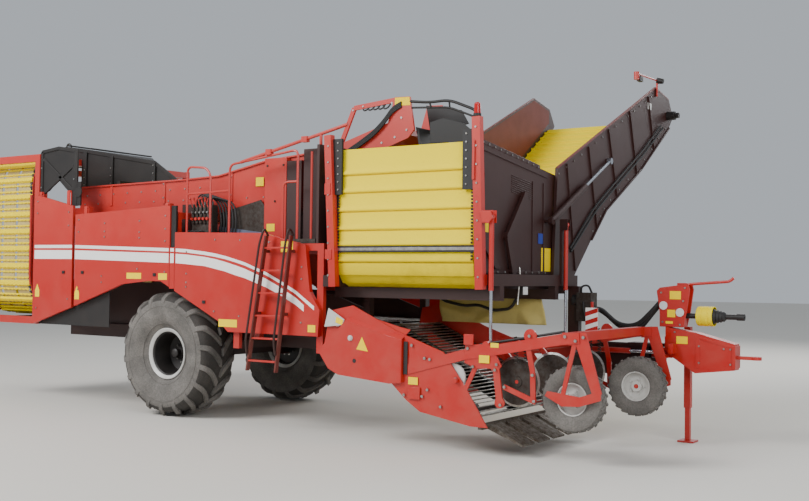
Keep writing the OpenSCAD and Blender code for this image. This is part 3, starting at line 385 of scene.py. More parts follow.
def moulded_plastic(name, slot, colour, dirt_and_shade, roughness, dirty, grain=0.006, foot=None, shine=0.5):
    """Moulded polyurethane or polythene: a saturated, slightly waxy body with soil
    rubbed into its grain and, where a foot is given, darker towards the bottom from the
    higher of two heights down to the lower; on the bunker slats partly soil, partly painted shade."""
    tree, shader, place = new_material(name, slot)
    rub = spread(tree, clouds(tree, place, 0.35, 6.0, 0.65), 0.5, 0.78)
    specks = spread(tree, clouds(tree, place, 0.025, 3.0, 0.8), 0.66, 0.74)
    rubbed = joined(tree, rub, specks)
    share = joined(tree, rubbed, spread(tree, specks, 0, 1, 0, 0.35), "MAXIMUM")
    # darker towards the foot: on the bunker slats partly soil, partly painted shade
    if foot:
        low = height_above(tree, place, *foot)
        low = joined(tree, low, spread(tree, rub, 0, 1, 0.45, 0.8))
        share = joined(tree, share, low, "MAXIMUM")
    share = spread(tree, share, 0.0, 1.0, 0.0, dirty)
    tone = mixed(tree, share, colour, dirt_and_shade)
    finished(tree, shader, tone, spread(tree, share, 0, 1, roughness, 0.9), IOR=1.5)
    shader.inputs["Specular IOR Level"].default_value = shine
    bumped(tree, shader, clouds(tree, place, grain, 3.0), 0.2, 0.0005)


def tyre_rubber(name, slot, colour, dust):
    """Vulcanised rubber that has run in dry soil: dark only where the lugs rub."""
    tree, shader, place = new_material(name, slot)
    broad = spread(tree, clouds(tree, place, 0.3, 5.0, 0.6), 0.3, 0.7, 0.35, 1.0)
    fine = spread(tree, clouds(tree, place, 0.02, 6.0, 0.75), 0.3, 0.7)
    share = joined(tree, broad, spread(tree, fine, 0, 1, 0.35, 0.9))
    finished(tree, shader, mixed(tree, share, colour, dust), 0.88, IOR=1.52)
    bumped(tree, shader, clouds(tree, place, 0.01, 5.0, 0.7), 0.35, 0.0015)


def clear_lens(name, slot, colour, roughness=0.08):
    """Moulded acrylic lens over a bright reflector, with fine prisms 5 cm apart."""
    tree, shader, place = new_material(name, slot)
    values = {"Scale": 1 / 0.05, "Distortion": 0.0}
    waves = add_node(tree, "ShaderNodeTexWave", {"Vector": place}, values, bands_direction="Z")
    prisms = waves.outputs["Fac"]
    tone = mixed(tree, prisms, colour, tuple(0.7 * c for c in colour[:3]) + (1,))
    finished(tree, shader, tone, roughness, Coat_Weight=1.0)
    bumped(tree, shader, prisms, 0.3, 0.001)


# Settings


def colour_setting(name, description, colour):
    """A paint or plastic colour that can be changed."""
    limits = {"size": 4, "min": 0.0, "max": 1.0}
    return FloatVectorProperty(
        name=name, description=description, subtype="COLOR", default=linear(colour), **limits
    )


def length_setting(name, description, default, low, high):
    """A length in metres that can be changed."""
    return FloatProperty(
        name=name, description=description, default=default, min=low, max=high, unit="LENGTH"
    )


class HarvesterColours(bpy.types.PropertyGroup):
    """Colours of the machine's finishes."""

    red: colour_setting("Red paint", "Enamel of the panels and arms", "#b50f07")
    # the faded red also serves as painted sky reflection on the upper red parts
    faded_red: colour_setting("Faded red", "The enamel where it has faded", "#c23a30")
    maroon: colour_setting("Brown-red paint", "Enamel of bunker and boom", "#2b0f0c")
    rust: colour_setting("Rubbed wall", "The boom's wall where the crop runs", "#842a0a")
    yellow: colour_setting("Yellow plastic", "Slats and webs", "#f4da00")
    dust: colour_setting("Soil dust", "Dry soil on paint and rubber", "#a08d76")
    rubber: colour_setting("Rubber", "Tyres, flaps and hoses", "#232222")
    stripe: colour_setting("Stripe", "White stripes on the panels", "#f4f3ef")
    floor: colour_setting("Floor", "Studio floor", "#d8d4cc")


class HarvesterSizes(bpy.types.PropertyGroup):
    """Sizes of the details."""

    lugs: IntProperty(name="Lugs", description="Lugs on each half of a tread", default=18, min=10, max=30)
    rod_pitch: length_setting("Rod pitch", "Spacing of the rods on the crop webs", 0.07, 0.04, 0.2)
    bolt: length_setting("Bolt head", "Radius of a bolt head", 0.013, 0.006, 0.03)
    hose: length_setting("Hose", "Radius of a hydraulic hose", 0.013, 0.006, 0.03)


def sizes():
    """The sizes now set in the scene."""
    return bpy.context.scene.harvester_sizes


# The grain of moulded plastic, in metres
GRAIN = 0.006
# The slats and the sheet darken towards their foot, from and up to a height; on the slats partly soil and
# partly painted shade
SLAT_LOWS, SHEET_LOWS = (1.86, 2.5), (1.3, 1.9)
# The finishes: function, name and slot, then colours as settings or hex, then values
FINISH_LIST = (
    (painted_steel, "red enamel", "red_paint", "red", "faded_red", "dust", 0.36, 0.2, 0.2),
    (painted_steel, "shaded red", "red_paint", "#5e1510", "#6d2a22", "dust", 0.45, 0.2, 0.1),
    (painted_steel, "brown red enamel", "maroon_paint", "maroon", "#381712", "#4a3a31", 0.5, 0.35, 0.05),
    (painted_steel, "rubbed wall", "maroon_paint", "rust", "#6a240e", "#2c1812", 0.62, 0.95, 0.0),
    (painted_steel, "black enamel", "black_paint", "#171414", "#1d1917", "#4a4038", 0.5, 0.4, 0.05),
    (painted_steel, "stripe film", "red_paint", "stripe", "stripe", "#d9d2c6", 0.3, 0.3),
    (painted_steel, "silver enamel", "silver_paint", "#c9c8c4", "#d8d7d3", "#8f877b", 0.4, 0.6),
    (moulded_plastic, "yellow plastic", "yellow_plastic", "yellow", "#6b4e1c", 0.5, 0.75, GRAIN, None, 0.15),
    (moulded_plastic, "web belt", "yellow_plastic", "#b9a86e", "#6b5833", 0.6, 0.9, GRAIN, None, 0.2),
    # the slats' brown is soil, and towards their foot also painted shade
    (moulded_plastic, "slat plastic", "yellow_plastic", "yellow", "#5c3f12", 0.6, 0.8, GRAIN, SLAT_LOWS,
     0.12),
    (moulded_plastic, "yellow sheet", "yellow_plastic", "#dccb78", "#6a5630", 0.6, 0.9, 0.02, SHEET_LOWS),
    (moulded_plastic, "yellow label", "yellow_plastic", "#fbd800", "#a98a2a", 0.5, 0.2, GRAIN, None, 0.1),
    (moulded_plastic, "blue plate", "yellow_plastic", "#2a3f9a", "#39406a", 0.3, 0.2),
    (moulded_plastic, "black rubber", "black_rubber", "rubber", "#5a524b", 0.6, 0.8),
    (moulded_plastic, "grey rubber", "black_rubber", "#5d6378", "#6b655c", 0.6, 0.6),
    (moulded_plastic, "red lens", "lamp", "#b31310", "#6e1511", 0.12, 0.2),
    (tyre_rubber, "tyre rubber", "tyre", "#343230", "#8c8781"),
    (tyre_rubber, "shaded rubber", "tyre", "#201f1e", "#4f4a45"),
    (plain_steel, "bright steel", "bright_steel", "#b9b9b6", "#7d746a", 0.3, 1.0, 0.08),
    (plain_steel, "dark steel", "dark_steel", "#4b4743", "#3a2a22", 0.55, 0.6, 0.06),
    (plain_steel, "worn steel", "bright_steel", "#77726a", "#4b3b2e", 0.5, 0.8, 0.05),
    (plain_steel, "chrome", "chrome", "#d5d8de", "#aab0bb", 0.12, 1.0, 0.2),
    (clear_lens, "white lens", "lamp", "#e8e8e6"),
)
# The finish of the frame's own parts by slot, and of the parts that differ from it
SLOT_FINISHES = {
    "red_paint": "red enamel",
    "maroon_paint": "brown red enamel",
    "black_paint": "black enamel",
    "yellow_plastic": "yellow plastic",
    "black_rubber": "black rubber",
    "tyre": "tyre rubber",
    "silver_paint": "silver enamel",
    "bright_steel": "bright steel",
    "dark_steel": "dark steel",
    "chrome": "chrome",
    "lamp": "white lens",
}
NODE_FINISHES = {"boom_barrel": "brown red enamel", "share_blades": "worn steel"}


class HARVESTER_OT_finishes(bpy.types.Operator):
    """Mixes the finishes and puts them on the frame's own parts"""

    bl_idname = "harvester.finishes"
    bl_label = "Finishes"

    def execute(self, context):
        settings = context.scene.harvester_colours
        for mix, name, slot, *values in FINISH_LIST:
            for i, value in enumerate(values):
                if isinstance(value, str):
                    values[i] = linear(value) if value[0] == "#" else tuple(getattr(settings, value))
            mix(name, slot, *values)
        for part in FRAME["record"]["subparts"]:
            mesh = FRAME["nodes"][part["node"]].data
            mesh.materials.clear()
            finish = NODE_FINISHES.get(part["node"], SLOT_FINISHES[part["material_slot"]])
            mesh.materials.append(FINISHES[finish][0])
        return {"FINISHED"}




# Wheels: radius, then distance from the wheel's middle
TYRE = [(0.333, 0.2), (0.37, 0.206), (0.40, 0.235), (0.46, 0.285), (0.55, 0.312), (0.64, 0.318),
        (0.70, 0.318), (0.745, 0.308), (0.785, 0.285), (0.812, 0.24), (0.826, 0.12)]
GROOVES = [(0.745, 0.3085), (0.785, 0.2855), (0.8125, 0.2405), (0.8265, 0.12)]
FLANGE = [(0.352, 0.226), (0.36, 0.218), (0.356, 0.204), (0.331, 0.198), (0.318, 0.16), (0.306, 0.165),
          (0.31, 0.2), (0.33, 0.215)]
DISH = [(0.3085, 0.19), (0.3175, 0.16), (0.3175, -0.16), (0.3085, -0.19), (0.29, -0.185), (0.285, -0.14),
        (0.1, -0.16), (0.1, -0.14), (0.2, -0.126), (0.266, -0.1), (0.274, 0.0), (0.276, 0.12), (0.29, 0.175)]
HUB = [(0.0, 0.085), (0.05, 0.08), (0.062, 0.07), (0.064, 0.0), (0.092, -0.03), (0.1, -0.05), (0.1, -0.16),
       (0.0, -0.16)]
AXLE_END, AXLE_HEIGHT = 1.27, 0.875
WHEEL_STEPS, RIM_STEPS = 72, 64


def tread():
    """Lugs bent from the crown's middle down over the shoulder, and side wall rings."""
    lug = bmesh.new()
    bmesh.ops.create_cube(lug, size=1)
    along = [e for e in lug.edges if abs(e.verts[0].co.y - e.verts[1].co.y) > 0.5]
    bmesh.ops.subdivide_edges(lug, edges=along, cuts=7, use_grid_fill=True)
    for v in lug.verts:
        top, t = v.co.z > 0, v.co.y + 0.5
        fall = max(0.0, t - 0.62) / 0.38
        foot = 0.826 - 0.02 * t - 0.135 * fall**1.6
        radius = foot + (0.046 - 0.012 * fall if top else -0.02)
        lean = -0.11 + 0.26 * t + 0.05 * math.sin(math.pi * t)
        angle = (lean + v.co.x * (0.105 - 0.022 * t) * (0.84 if top else 1.1)) / 0.85
        out = 0.012 + 0.300 * min(1.0, t * 1.12) + (0.012 * fall if top else -0.004)
        v.co = Vector((radius * math.cos(angle), radius * math.sin(angle), out))
    count = sizes().lugs
    places = [Matrix.Rotation(math.tau * i / count, 4, "Z") for i in range(count)]
    over = Matrix.Rotation(math.pi / count, 4, "Z") @ Matrix.Scale(-1, 4, (0, 0, 1))
    bm = repeated(lug, places + [place @ over for place in places])
    for side in (1, -1):
        for radius, out in ((0.43, 0.262), (0.665, 0.319)):
            ridge = ((-0.006, -0.01), (-0.004, 0.004), (0.004, 0.004), (0.006, -0.01))
            revolved(bm, [(radius + r, side * (out + z)) for r, z in ridge], WHEEL_STEPS)
    return bm


def wheel(name, place):
    """Tyre, rim and nuts of the wheel on one side."""
    casing = (revolved, mirrored(TYRE, [(0.828, 0.0)]), WHEEL_STEPS)
    grooves = (revolved, mirrored(GROOVES, [(0.8285, 0.0)]), WHEEL_STEPS, False)
    flanges = [(revolved, [(r, side * z) for r, z in FLANGE], RIM_STEPS) for side in (1, -1)]
    dish = [(revolved, DISH, RIM_STEPS), (revolved, HUB, 32)]
    heads = (nuts, 10, 0.15, -0.13, 0.019, 0.017, 0.05)
    for label, finish, bm, replaced, weld in (
        (f"tyre_{name}_casing", "tyre rubber", shapes(casing), [], False),
        (f"tyre_{name}_grooves", "shaded rubber", shapes(grooves), [], False),
        (f"tyre_{name}_tread", "tyre rubber", tread(), [f"tyre_{name}"], False),
        (f"rim_{name}_flange", "silver enamel", shapes(*flanges), [f"rim_{name}"], False),
        # the rim's barrel and dish take black enamel as painted shade of the recess; the flange stays silver
        (f"rim_{name}_dish", "black enamel", shapes(*dish), [], True),
        (f"wheel_nuts_{name}", "bright steel", shapes(heads), [], False),
    ):
        make(label, repeated(bm, [place]), finish, f"wheel_{name}", replaced, weld=weld)


class HARVESTER_OT_wheels(bpy.types.Operator):
    """Tyres with lugs, and dished rims, on both ends of the axle"""

    bl_idname = "harvester.wheels"
    bl_label = "Wheels"

    def execute(self, context):
        for side, name in reversed(SIDES):
            turn = Matrix.Rotation(math.radians(-90 * side), 4, "X")
            wheel(name, Matrix.Translation(at(0, side * AXLE_END, AXLE_HEIGHT)) @ turn)
        return {"FINISHED"}


# The ring elevator's outline across the machine: half its flat stretches, its
# middle's height and the radius of its bends; then the reach of its flights
RING_FLATS = (0.945, 0.75)
RING_MIDDLE, RING_BEND = 2.61, 0.55
FLIGHT_LOW, FLIGHT_HIGH = -4.175, -3.065
# Pitch of its links and of its edges' teeth; X of both, of its belts and its edges
LINK_PITCH, TOOTH_PITCH = 0.0907, 0.068
LINK_ENDS, EDGE_TEETH = (-3.09, -4.15), (-3.095, -4.145)
RING_BELTS = ((-4.10, -3.86), (-3.80, -3.50), (-3.44, -3.14))
RING_EDGES = ((-4.178, -4.11), (-3.13, -3.062))
# The bent tube beside it, and the tray under it: X from, to, and its top
RING_GUIDE = [(-3.0, -1.54, 3.2), (-2.99, -1.545, 2.9), (-2.98, -1.55, 2.4), (-2.99, -1.545, 1.95),
              (-3.0, -1.52, 1.8)]
RING_TRAY = ((-4.2, -3.04, 1.222), (-3.05, -3.04, 1.27), (-4.2, -4.19, 1.27))


def ring_places(pitch, inset=0.042):
    """Matrices along a loop inside the ring's outline, outside up."""
    a, b = RING_FLATS
    radius = RING_BEND - inset
    bend = math.pi * radius / 2
    length = 4 * (a + b + bend)
    count = round(length / pitch)
    centre = at(0, 0, RING_MIDDLE)
    for i in range(count):
        s = length * i / count
        turn = 0.0
        for half, out in ((b, a), (a, b), (b, a), (a, b)):
            if s < 2 * half:
                spot, lean = Vector((out + radius, s - half)), turn
                break
            s -= 2 * half
            if s < bend:
                angle = s / radius
                spot = Vector((out + radius * math.cos(angle), half + radius * math.sin(angle)))
                lean = turn + angle
                break
            s -= bend
            turn += math.pi / 2
        y, z = Matrix.Rotation(turn, 2) @ spot
        place = Matrix.Translation((0, centre.y + y, centre.z + z))
        yield place @ Matrix.Rotation(lean - math.pi / 2, 4, "X")


def flight(height, width):
    """A flight along X with a wavy crest, standing on Z = 0."""
    middle, length = at((FLIGHT_LOW + FLIGHT_HIGH) / 2, 0, 0).x, FLIGHT_HIGH - FLIGHT_LOW
    bm = bmesh.new()
    cube(bm, (middle, 0, height / 2), (length, width, height))
    along = [e for e in bm.edges if abs(e.verts[0].co.x - e.verts[1].co.x) > length / 2]
    bmesh.ops.subdivide_edges(bm, edges=along, cuts=45, use_grid_fill=True)
    for v in bm.verts:
        if v.co.z > height / 2:
            t = (v.co.x - middle) / length * 23 * math.pi
            v.co.y = v.co.y * 0.5 + 0.006 * math.sin(t)
            v.co.z -= 0.008 * (0.5 + 0.5 * math.cos(2 * t))
    return bm


def ring_band(bm, low, high, thick):
    """A closed band along the ring, under its flights."""
    a, b = RING_FLATS
    loops = []
    for radius in (RING_BEND - 0.045, RING_BEND - 0.045 - thick):
        points = []
        for i, (y, z) in enumerate(((a, b), (-a, b), (-a, -b), (a, -b))):
            for angle in (math.radians(90 * i + 7.5 * k) for k in range(13)):
                points.append((y + radius * math.cos(angle), RING_MIDDLE + z + radius * math.sin(angle)))
        loops += linked(bm, [at(low, y, z) for y, z in points])[1]
    faces = bmesh.ops.bridge_loops(bm, edges=loops)["faces"]
    thicken(bm, faces, (high - low, 0, 0))


def ring_blocks(ends, size, height):
    """Blocks at both edges of the ring, at a height over its loop."""
    bm = bmesh.new()
    for x in ends:
        cube(bm, (at(x, 0, 0).x, 0, height), size)
    return bm


def ring_row(name, finish, part, places, replaced=()):
    """A piece with a copy of a part at each place round the ring."""
    make(name, repeated(part, places), finish, "chassis", replaced, weld=False)


class HARVESTER_OT_ring_elevator(bpy.types.Operator):
    """Yellow flights and pale belts of the ring elevator"""

    bl_idname = "harvester.ring_elevator"
    bl_label = "Ring elevator"

    def execute(self, context):
        # every third link has a tall flight, the others a rod
        links = list(ring_places(LINK_PITCH))
        rods = [place for i, place in enumerate(links) if i % 3]
        ring = ["ring_elevator", "ring_corners"]
        ring_row("ring_flights", "yellow plastic", flight(0.042, 0.092), links[::3], ring)
        ring_row("ring_rods", "yellow plastic", flight(0.026, 0.028), rods)
        for name, finish, reaches, thick in (
            ("ring_belts", "web belt", RING_BELTS, 0.008),
            ("ring_edges", "black rubber", RING_EDGES, 0.016),
        ):
            bands = [(ring_band, low, high, thick) for low, high in reaches]
            build(name, finish, "chassis", *bands, weld=False)
        teeth = ring_blocks(EDGE_TEETH, (0.055, 0.03, 0.03), 0.006)
        ring_row("ring_edge_teeth", "black rubber", teeth, ring_places(TOOTH_PITCH))
        clips = ring_blocks(LINK_ENDS, (0.03, 0.05, 0.012), 0.026)
        ring_row("ring_links", "bright steel", clips, links[1::3])
        build("ring_guide", "red enamel", "chassis", (tube, RING_GUIDE, 0.02, 10, 0.3))
        tray = [(block, (low, -1.46, 1.212), (high, 1.46, top)) for low, high, top in RING_TRAY]
        build("ring_tray", "black enamel", "chassis", *tray, edge=0.003)
        return {"FINISHED"}


# Outlines of the side panels, X and Z
REAR_DOOR = [(-2.755, 1.205), (-1.865, 1.478), (-1.865, 2.99), (-2.755, 3.19)]
MID_DOOR = [(-1.805, 1.497), (-0.76, 1.84), (-0.24, 1.89), (0.02, 1.89), (0.185, 1.812), (0.185, 2.94),
            (-1.805, 2.86)]
FRONT_PANEL = [(0.29, 1.762), (1.15, 1.36), (1.3, 1.235), (2.82, 1.235), (2.84, 1.57), (2.68, 1.79),
               (2.6, 2.38), (1.88, 2.54), (0.29, 2.57)]
# X, then the heights of the thin line's and the wide band's edges
STRIPE = [
    (-2.74, 2.412, 2.365, 2.335, 2.2), (-1.87, 2.408, 2.362, 2.33, 2.198), (-1.80, 2.405, 2.36, 2.328, 2.197),
    (-0.7, 2.375, 2.33, 2.3, 2.17), (0.17, 2.35, 2.305, 2.278, 2.147), (0.203, 2.349, 2.304, 2.277, 2.146),
    (0.273, 2.347, 2.302, 2.275, 2.145), (0.31, 2.345, 2.3, 2.272, 2.143), (0.5, 2.335, 2.29, 2.262, 2.132),
    (0.86, 2.3, 2.255, 2.228, 2.105), (1.05, 2.275, 2.23, 2.2, 2.07), (1.23, 2.242, 2.2, 2.163, 2.037),
    (1.41, 2.2, 2.16, 2.12, 1.99), (1.59, 2.155, 2.115, 2.072, 1.95), (1.96, 2.03, 1.99, 1.945, 1.835),
    (2.19, 1.93, 1.89, 1.845, 1.745), (2.46, 1.8, 1.755, 1.71, 1.62), (2.59, 1.715, 1.67, 1.62, 1.54),
    (2.755, 1.61, 1.56, None, None),
]
# The panels' solid face and the outer sheet's thickness
PANEL_FACE, PANEL_SKIN = 1.65, 0.002
# Latches: panel, X, Z
LATCHES = (("rear_door", -2.05, 2.0), ("mid_door", -1.62, 2.0), ("mid_door", -0.1, 1.98), (None, 0.86, 1.62))
# Blank yellow labels: panel, X, Z, width, height
LABELS = (
    ("rear_door", -2.66, 1.72, 0.1, 0.2), ("mid_door", -1.74, 1.7, 0.1, 0.2),
    ("mid_door", -0.52, 1.96, 0.3, 0.085), ("mid_door", 0.06, 1.955, 0.17, 0.09),
    (None, 1.3, 1.35, 0.33, 0.1), (None, 2.72, 1.33, 0.12, 0.09), (None, 2.3, 2.36, 0.2, 0.14),
)
# Bolt heads in columns: panel, then X and heights
PANEL_BOLTS = (
    ("mid_door", ((-1.72, (1.75, 2.6, 2.78)), (-1.15, (2.52, 2.6, 2.72)), (-0.42, (2.5, 2.58, 2.74)),
                  (0.1, (2.45, 2.62, 2.8, 2.02)), (-1.2, (1.86, 1.95)), (-0.45, (2.06,)))),
    ("rear_door", ((-2.68, (1.45, 2.9, 3.08)), (-1.95, (1.6, 2.7, 2.9)))),
    (None, ((0.52, (1.82, 1.88, 2.3, 2.0)), (1.5, (2.45, 1.45)), (2.0, (2.42,)), (2.55, (1.4, 1.95, 2.1)),
            (1.05, (1.5, 2.46)))),
)


def stripes(name, side, body, start, end):
    """Thin line and wide band on the panels from start to end."""
    rows = [row for row in STRIPE if start - 0.02 <= row[0] <= end + 0.02]
    out = PANEL_FACE + PANEL_SKIN
    parts = []
    for top, foot in ((1, 2), (3, 4)):
        use = [row for row in rows if row[top] is not None]
        outline = [(row[0], row[top]) for row in use] + [(row[0], row[foot]) for row in reversed(use)]
        parts.append((slab, outline, "y", side * out, side * (out + 0.0012)))
    build(name, "stripe film", body, *parts)


def fittings(side, name):
    """Black latches, blank labels and bolt heads on the panels of one side."""
    out = side * (PANEL_FACE + PANEL_SKIN)
    for panel, x, z in LATCHES:
        body = f"{panel}_{name}" if panel else "chassis"
        low, high = sorted((out, out + side * 0.012))
        case = (block, (x - 0.028, low, z - 0.022), (x + 0.028, high, z + 0.022))
        knob = (pin, (x, out, z), (x, out + side * 0.02, z), 0.012, 12)
        build(f"latch_{name}_{body}_{round(x * 100)}", "black rubber", body, case, knob, edge=0.002)
    for panel, x, z, w, h in LABELS:
        body = f"{panel}_{name}" if panel else "chassis"
        outline = framed(x, z, w, h)
        if h > w:
            outline[2:] = [(x + w / 2, z), (x, z + h / 2), (x - w / 2, z)]
        label = (slab, outline, "y", out, out + side * 0.0012)
        build(f"label_{name}_{body}_{round(x * 100)}_{round(z * 100)}", "yellow label", body, label)
    for panel, columns in PANEL_BOLTS:
        body = f"{panel}_{name}" if panel else "chassis"
        spots = [(x, out, z) for x, heights in columns for z in heights]
        heads = (bolts, spots, (0, side, 0))
        build(f"bolts_{name}_{body}", "bright steel", body, heads, weld=False)


class HARVESTER_OT_panels(bpy.types.Operator):
    """Doors and front panels, with their stripes, latches and blank labels"""

    bl_idname = "harvester.panels"
    bl_label = "Side panels"

    def execute(self, context):
        for side, name in SIDES:
            face, skin = side * PANEL_FACE, side * (PANEL_FACE + PANEL_SKIN)
            for panel, outline, body, start, end in (
                (f"rear_door_{name}", REAR_DOOR, f"rear_door_{name}", -2.75, -1.87),
                (f"mid_door_{name}", MID_DOOR, f"mid_door_{name}", -1.80, 0.18),
                (f"front_panel_{name}", FRONT_PANEL, "chassis", 0.295, 2.76),
            ):
                build(f"{panel}_skin", "red enamel", body, (slab, outline, "y", face, skin), edge=0.0015)
                stripes(f"{panel}_stripes", side, body, start, end)
            fittings(side, name)
            liner = (slab, framed(-1.92, 1.5525, 1.6, 0.695), "y", side * 1.555, side * 1.565)
            post = (block, (0.192, side * 1.6, 2.36), (0.284, side * 1.63, 2.94))
            build(f"inner_liner_{name}", "black enamel", "chassis", liner, post)
            strip = (block, (0.192, side * 1.6, 1.79), (0.284, skin, 2.36))
            build(f"gap_strip_{name}", "red enamel", "chassis", strip, edge=0.0015)
            stripes(f"gap_strip_{name}_stripes", side, "chassis", 0.21, 0.27)
        return {"FINISHED"}


# The depth wheels' places across the machine, tyre and rim
DEPTH_WHEELS = (-1.6, 0.2)
SMALL_TYRE = [(0.181, 0.066), (0.19, 0.072), (0.235, 0.09), (0.3, 0.094), (0.334, 0.084), (0.346, 0.06)]
SMALL_RIM = [(0.166, 0.07), (0.178, 0.072), (0.178, -0.072), (0.166, -0.07), (0.166, -0.01), (0.12, -0.006),
             (0.07, -0.03), (0.028, -0.05), (0.028, 0.05), (0.062, 0.05), (0.064, 0.01), (0.12, 0.014),
             (0.166, 0.012)]
SMALL_LUGS = 24


def across(x, y, z):
    """Turns Z about an axle across the machine, at a place."""
    return Matrix.Translation(at(x, y, z)) @ Matrix.Rotation(math.pi / 2, 4, "X")


class HARVESTER_OT_depth_wheels(bpy.types.Operator):
    """Small tyres and rims that carry the front of the intake"""

    bl_idname = "harvester.depth_wheels"
    bl_label = "Depth wheels"

    def execute(self, context):
        tyre = shapes((revolved, mirrored(SMALL_TYRE, [(0.35, 0)]), 48))
        for i in range(SMALL_LUGS):
            for side in (1, -1):
                round_axle = Matrix.Rotation(math.tau * (i + 0.25 * side) / SMALL_LUGS, 4, "Z")
                spot = round_axle @ Vector((0.347, 0, side * 0.038))
                cube(tyre, spot, (0.022, 0.026, 0.075), round_axle @ Matrix.Rotation(side * 0.6, 4, "X"))
        rim = shapes((revolved, SMALL_RIM, 40), (nuts, 5, 0.09, 0.02, 0.012, 0.012, 0.03))
        places = [across(6.28, y, 0.71) for y in DEPTH_WHEELS]
        for name, part, finish, replaced in (
            ("depth_wheel_tyres", tyre, "tyre rubber", "depth_tyres"),
            ("depth_wheel_rims", rim, "silver enamel", "depth_rims"),
        ):
            make(name, repeated(part, places), finish, "depth_wheels", [replaced], weld=False)
        return {"FINISHED"}


# The bunker's slatted side: its top, the slats' feet from the top down, and one
# slat's section as Y and the height above its foot
SLAT_TOP = 3.556
SLAT_FEET = (3.24, 3.02, 2.79, 2.56, 2.365, 2.17)
SLAT_SECTION = ((-1.586, 0.075), (-1.596, 0.05), (-1.608, 0.03), (-1.61, 0.014), (-1.602, 0.0),
                (-1.572, -0.001), (-1.572, -0.012), (-1.584, -0.016))
# The slats' thickness and reach, and the bend into the floor: Y, Z and radius
SLAT_THICK, SLAT_LOW, SLAT_HIGH = 0.022, 3.07, 5.01
BEND_Y, BEND_Z, BEND_RADIUS = -1.335, 2.13, 0.25


def bunker_slats():
    """Slats down the near side and round the bend, with their ribs and shafts."""
    outline = [(-1.575, SLAT_TOP), (-1.584, SLAT_TOP)]
    outline += [(y, foot + rise) for foot in SLAT_FEET for y, rise in SLAT_SECTION]
    middle, floor = (BEND_Y, BEND_Z), BEND_Z - BEND_RADIUS
    for start in (180, 210, 240):
        for part, out in ((5, 0.0), (18, 0.006), (26, 0.016), (28, 0.016), (30, 0.0)):
            outline.append(turned(middle, BEND_RADIUS + out, math.radians(start + part)))
    outline += [(0.38, floor), (0.38, floor + SLAT_THICK)]
    outline += [turned(middle, BEND_RADIUS - SLAT_THICK, math.radians(a)) for a in range(270, 179, -15)]
    parts = [(slab, outline + [(-1.563, SLAT_TOP - 0.02)], "x", SLAT_LOW, SLAT_HIGH)]
    ribs = [(-1.565, foot, -1.545, foot + 0.03) for foot in SLAT_FEET]
    ribs += [(-1.08 + 0.2 * i, 1.9, -1.05 + 0.2 * i, 1.925) for i in range(8)]
    parts += [(block, (SLAT_LOW, a, b), (SLAT_HIGH, c, d)) for a, b, c, d in ribs]
    shafts = ((-1.275, 1.934), (-1.537, 3.3), (0.33, 1.934))
    parts += [(pin, (3.061, y, z), (5.019, y, z), 0.021) for y, z in shafts]
    build("bunker_slats", "slat plastic", "chassis", *parts, replaces=["bunker_web"], edge=0.003)
    plate = (block, (3.074, -1.613, 0), (3.1, -1.602, 0.024))
    link = shapes(plate, (pin, (3.087, -1.62, 0.012), (3.087, -1.6, 0.012), 0.007, 8))
    rows = [Matrix.Translation((x, 0, 2.19 + 0.038 * i)) for x in (0, 1.908) for i in range(36)]
    make("bunker_chains", repeated(link, rows), "dark steel", "chassis", weld=False)


def bunker_front():
    """Top beam, bent strap, louvres, bolts and blank plates of the front wall."""
    strap = [(-1.53, 2.5), (-1.45, 2.5), (-1.08, 2.1), (-1.2, 2.1), (-1.53, 2.4)]
    louvres = [3.0 + 0.025 * i for i in range(9)]
    build(
        "bunker_wall_ribs", "brown red enamel", "chassis",
        (beam, (5.06, -1.57, 3.565), (5.06, -0.05, 3.392), 0.022, 0.05),
        (slab, strap, "x", 5.061, 5.085),
        (block, (5.06, -1.57, 2.045), (5.075, 0.48, 2.085)),
        *[(beam, (5.062, -0.79, z + 0.03), (5.062, -0.21, z - 0.03), 0.008, 0.009) for z in louvres],
        edge=0.003,
    )
    top = between((5.07, -1.5, 3.55), (5.07, -0.1, 3.391), 11)
    foot = between((5.075, -1.5, 2.065), (5.075, 0.1, 2.065), 10)
    build("bunker_wall_bolts", "bright steel", "chassis", (bolts, top + foot, (1, 0, 0)), weld=False)
    build("blue_plate", "blue plate", "chassis", (block, (5.0615, -0.07, 2.43), (5.064, 0.11, 2.56)))
    small = (block, (5.07, -1.52, 2.52), (5.0725, -1.36, 2.66))
    large = (block, (5.0615, 0.02, 2.08), (5.064, 0.28, 2.38))
    build("bunker_wall_labels", "yellow label", "chassis", small, large)


def bunker_posts():
    """Bolts and brackets of the posts, and the drain."""
    build(
        "post_bolts", "bright steel", "chassis",
        (bolts, between((3.0, -1.69, 2.0), (2.975, -1.69, 3.6), 9), (0, -1, 0)),
        (bolts, between((5.13, -1.69, 2.0), (5.08, -1.69, 3.7), 9), (0, -1, 0)),
        (bolts, between((3.1, -1.64, 3.06), (3.09, -1.64, 3.64), 7), (0, -1, 0), 0.011),
        (bolts, between((4.93, -1.64, 3.06), (4.93, -1.64, 3.64), 7), (0, -1, 0), 0.011),
        weld=False,
    )
    build(
        "post_brackets", "red enamel", "chassis",
        (slab, [(5.16, 2.74), (5.3, 2.74), (5.32, 2.66), (5.27, 2.6), (5.19, 2.62)], "y", -1.72, -1.69),
        (beam, (5.06, -1.7, 3.1), (5.06, -1.7, 3.55), 0.02, 0.03),
        (block, (2.95, -1.7, 2.2), (3.05, -1.69, 2.32)),
        (block, (2.93, -1.7, 3.0), (3.02, -1.69, 3.14)),
        edge=0.003,
    )
    drain = [(5.19, -0.81, 2.12), (5.205, -0.82, 2.06), (5.205, -0.88, 1.68)]
    build("drain_pipe", "bright steel", "chassis", (tube, drain, 0.011, 10, 0.03))


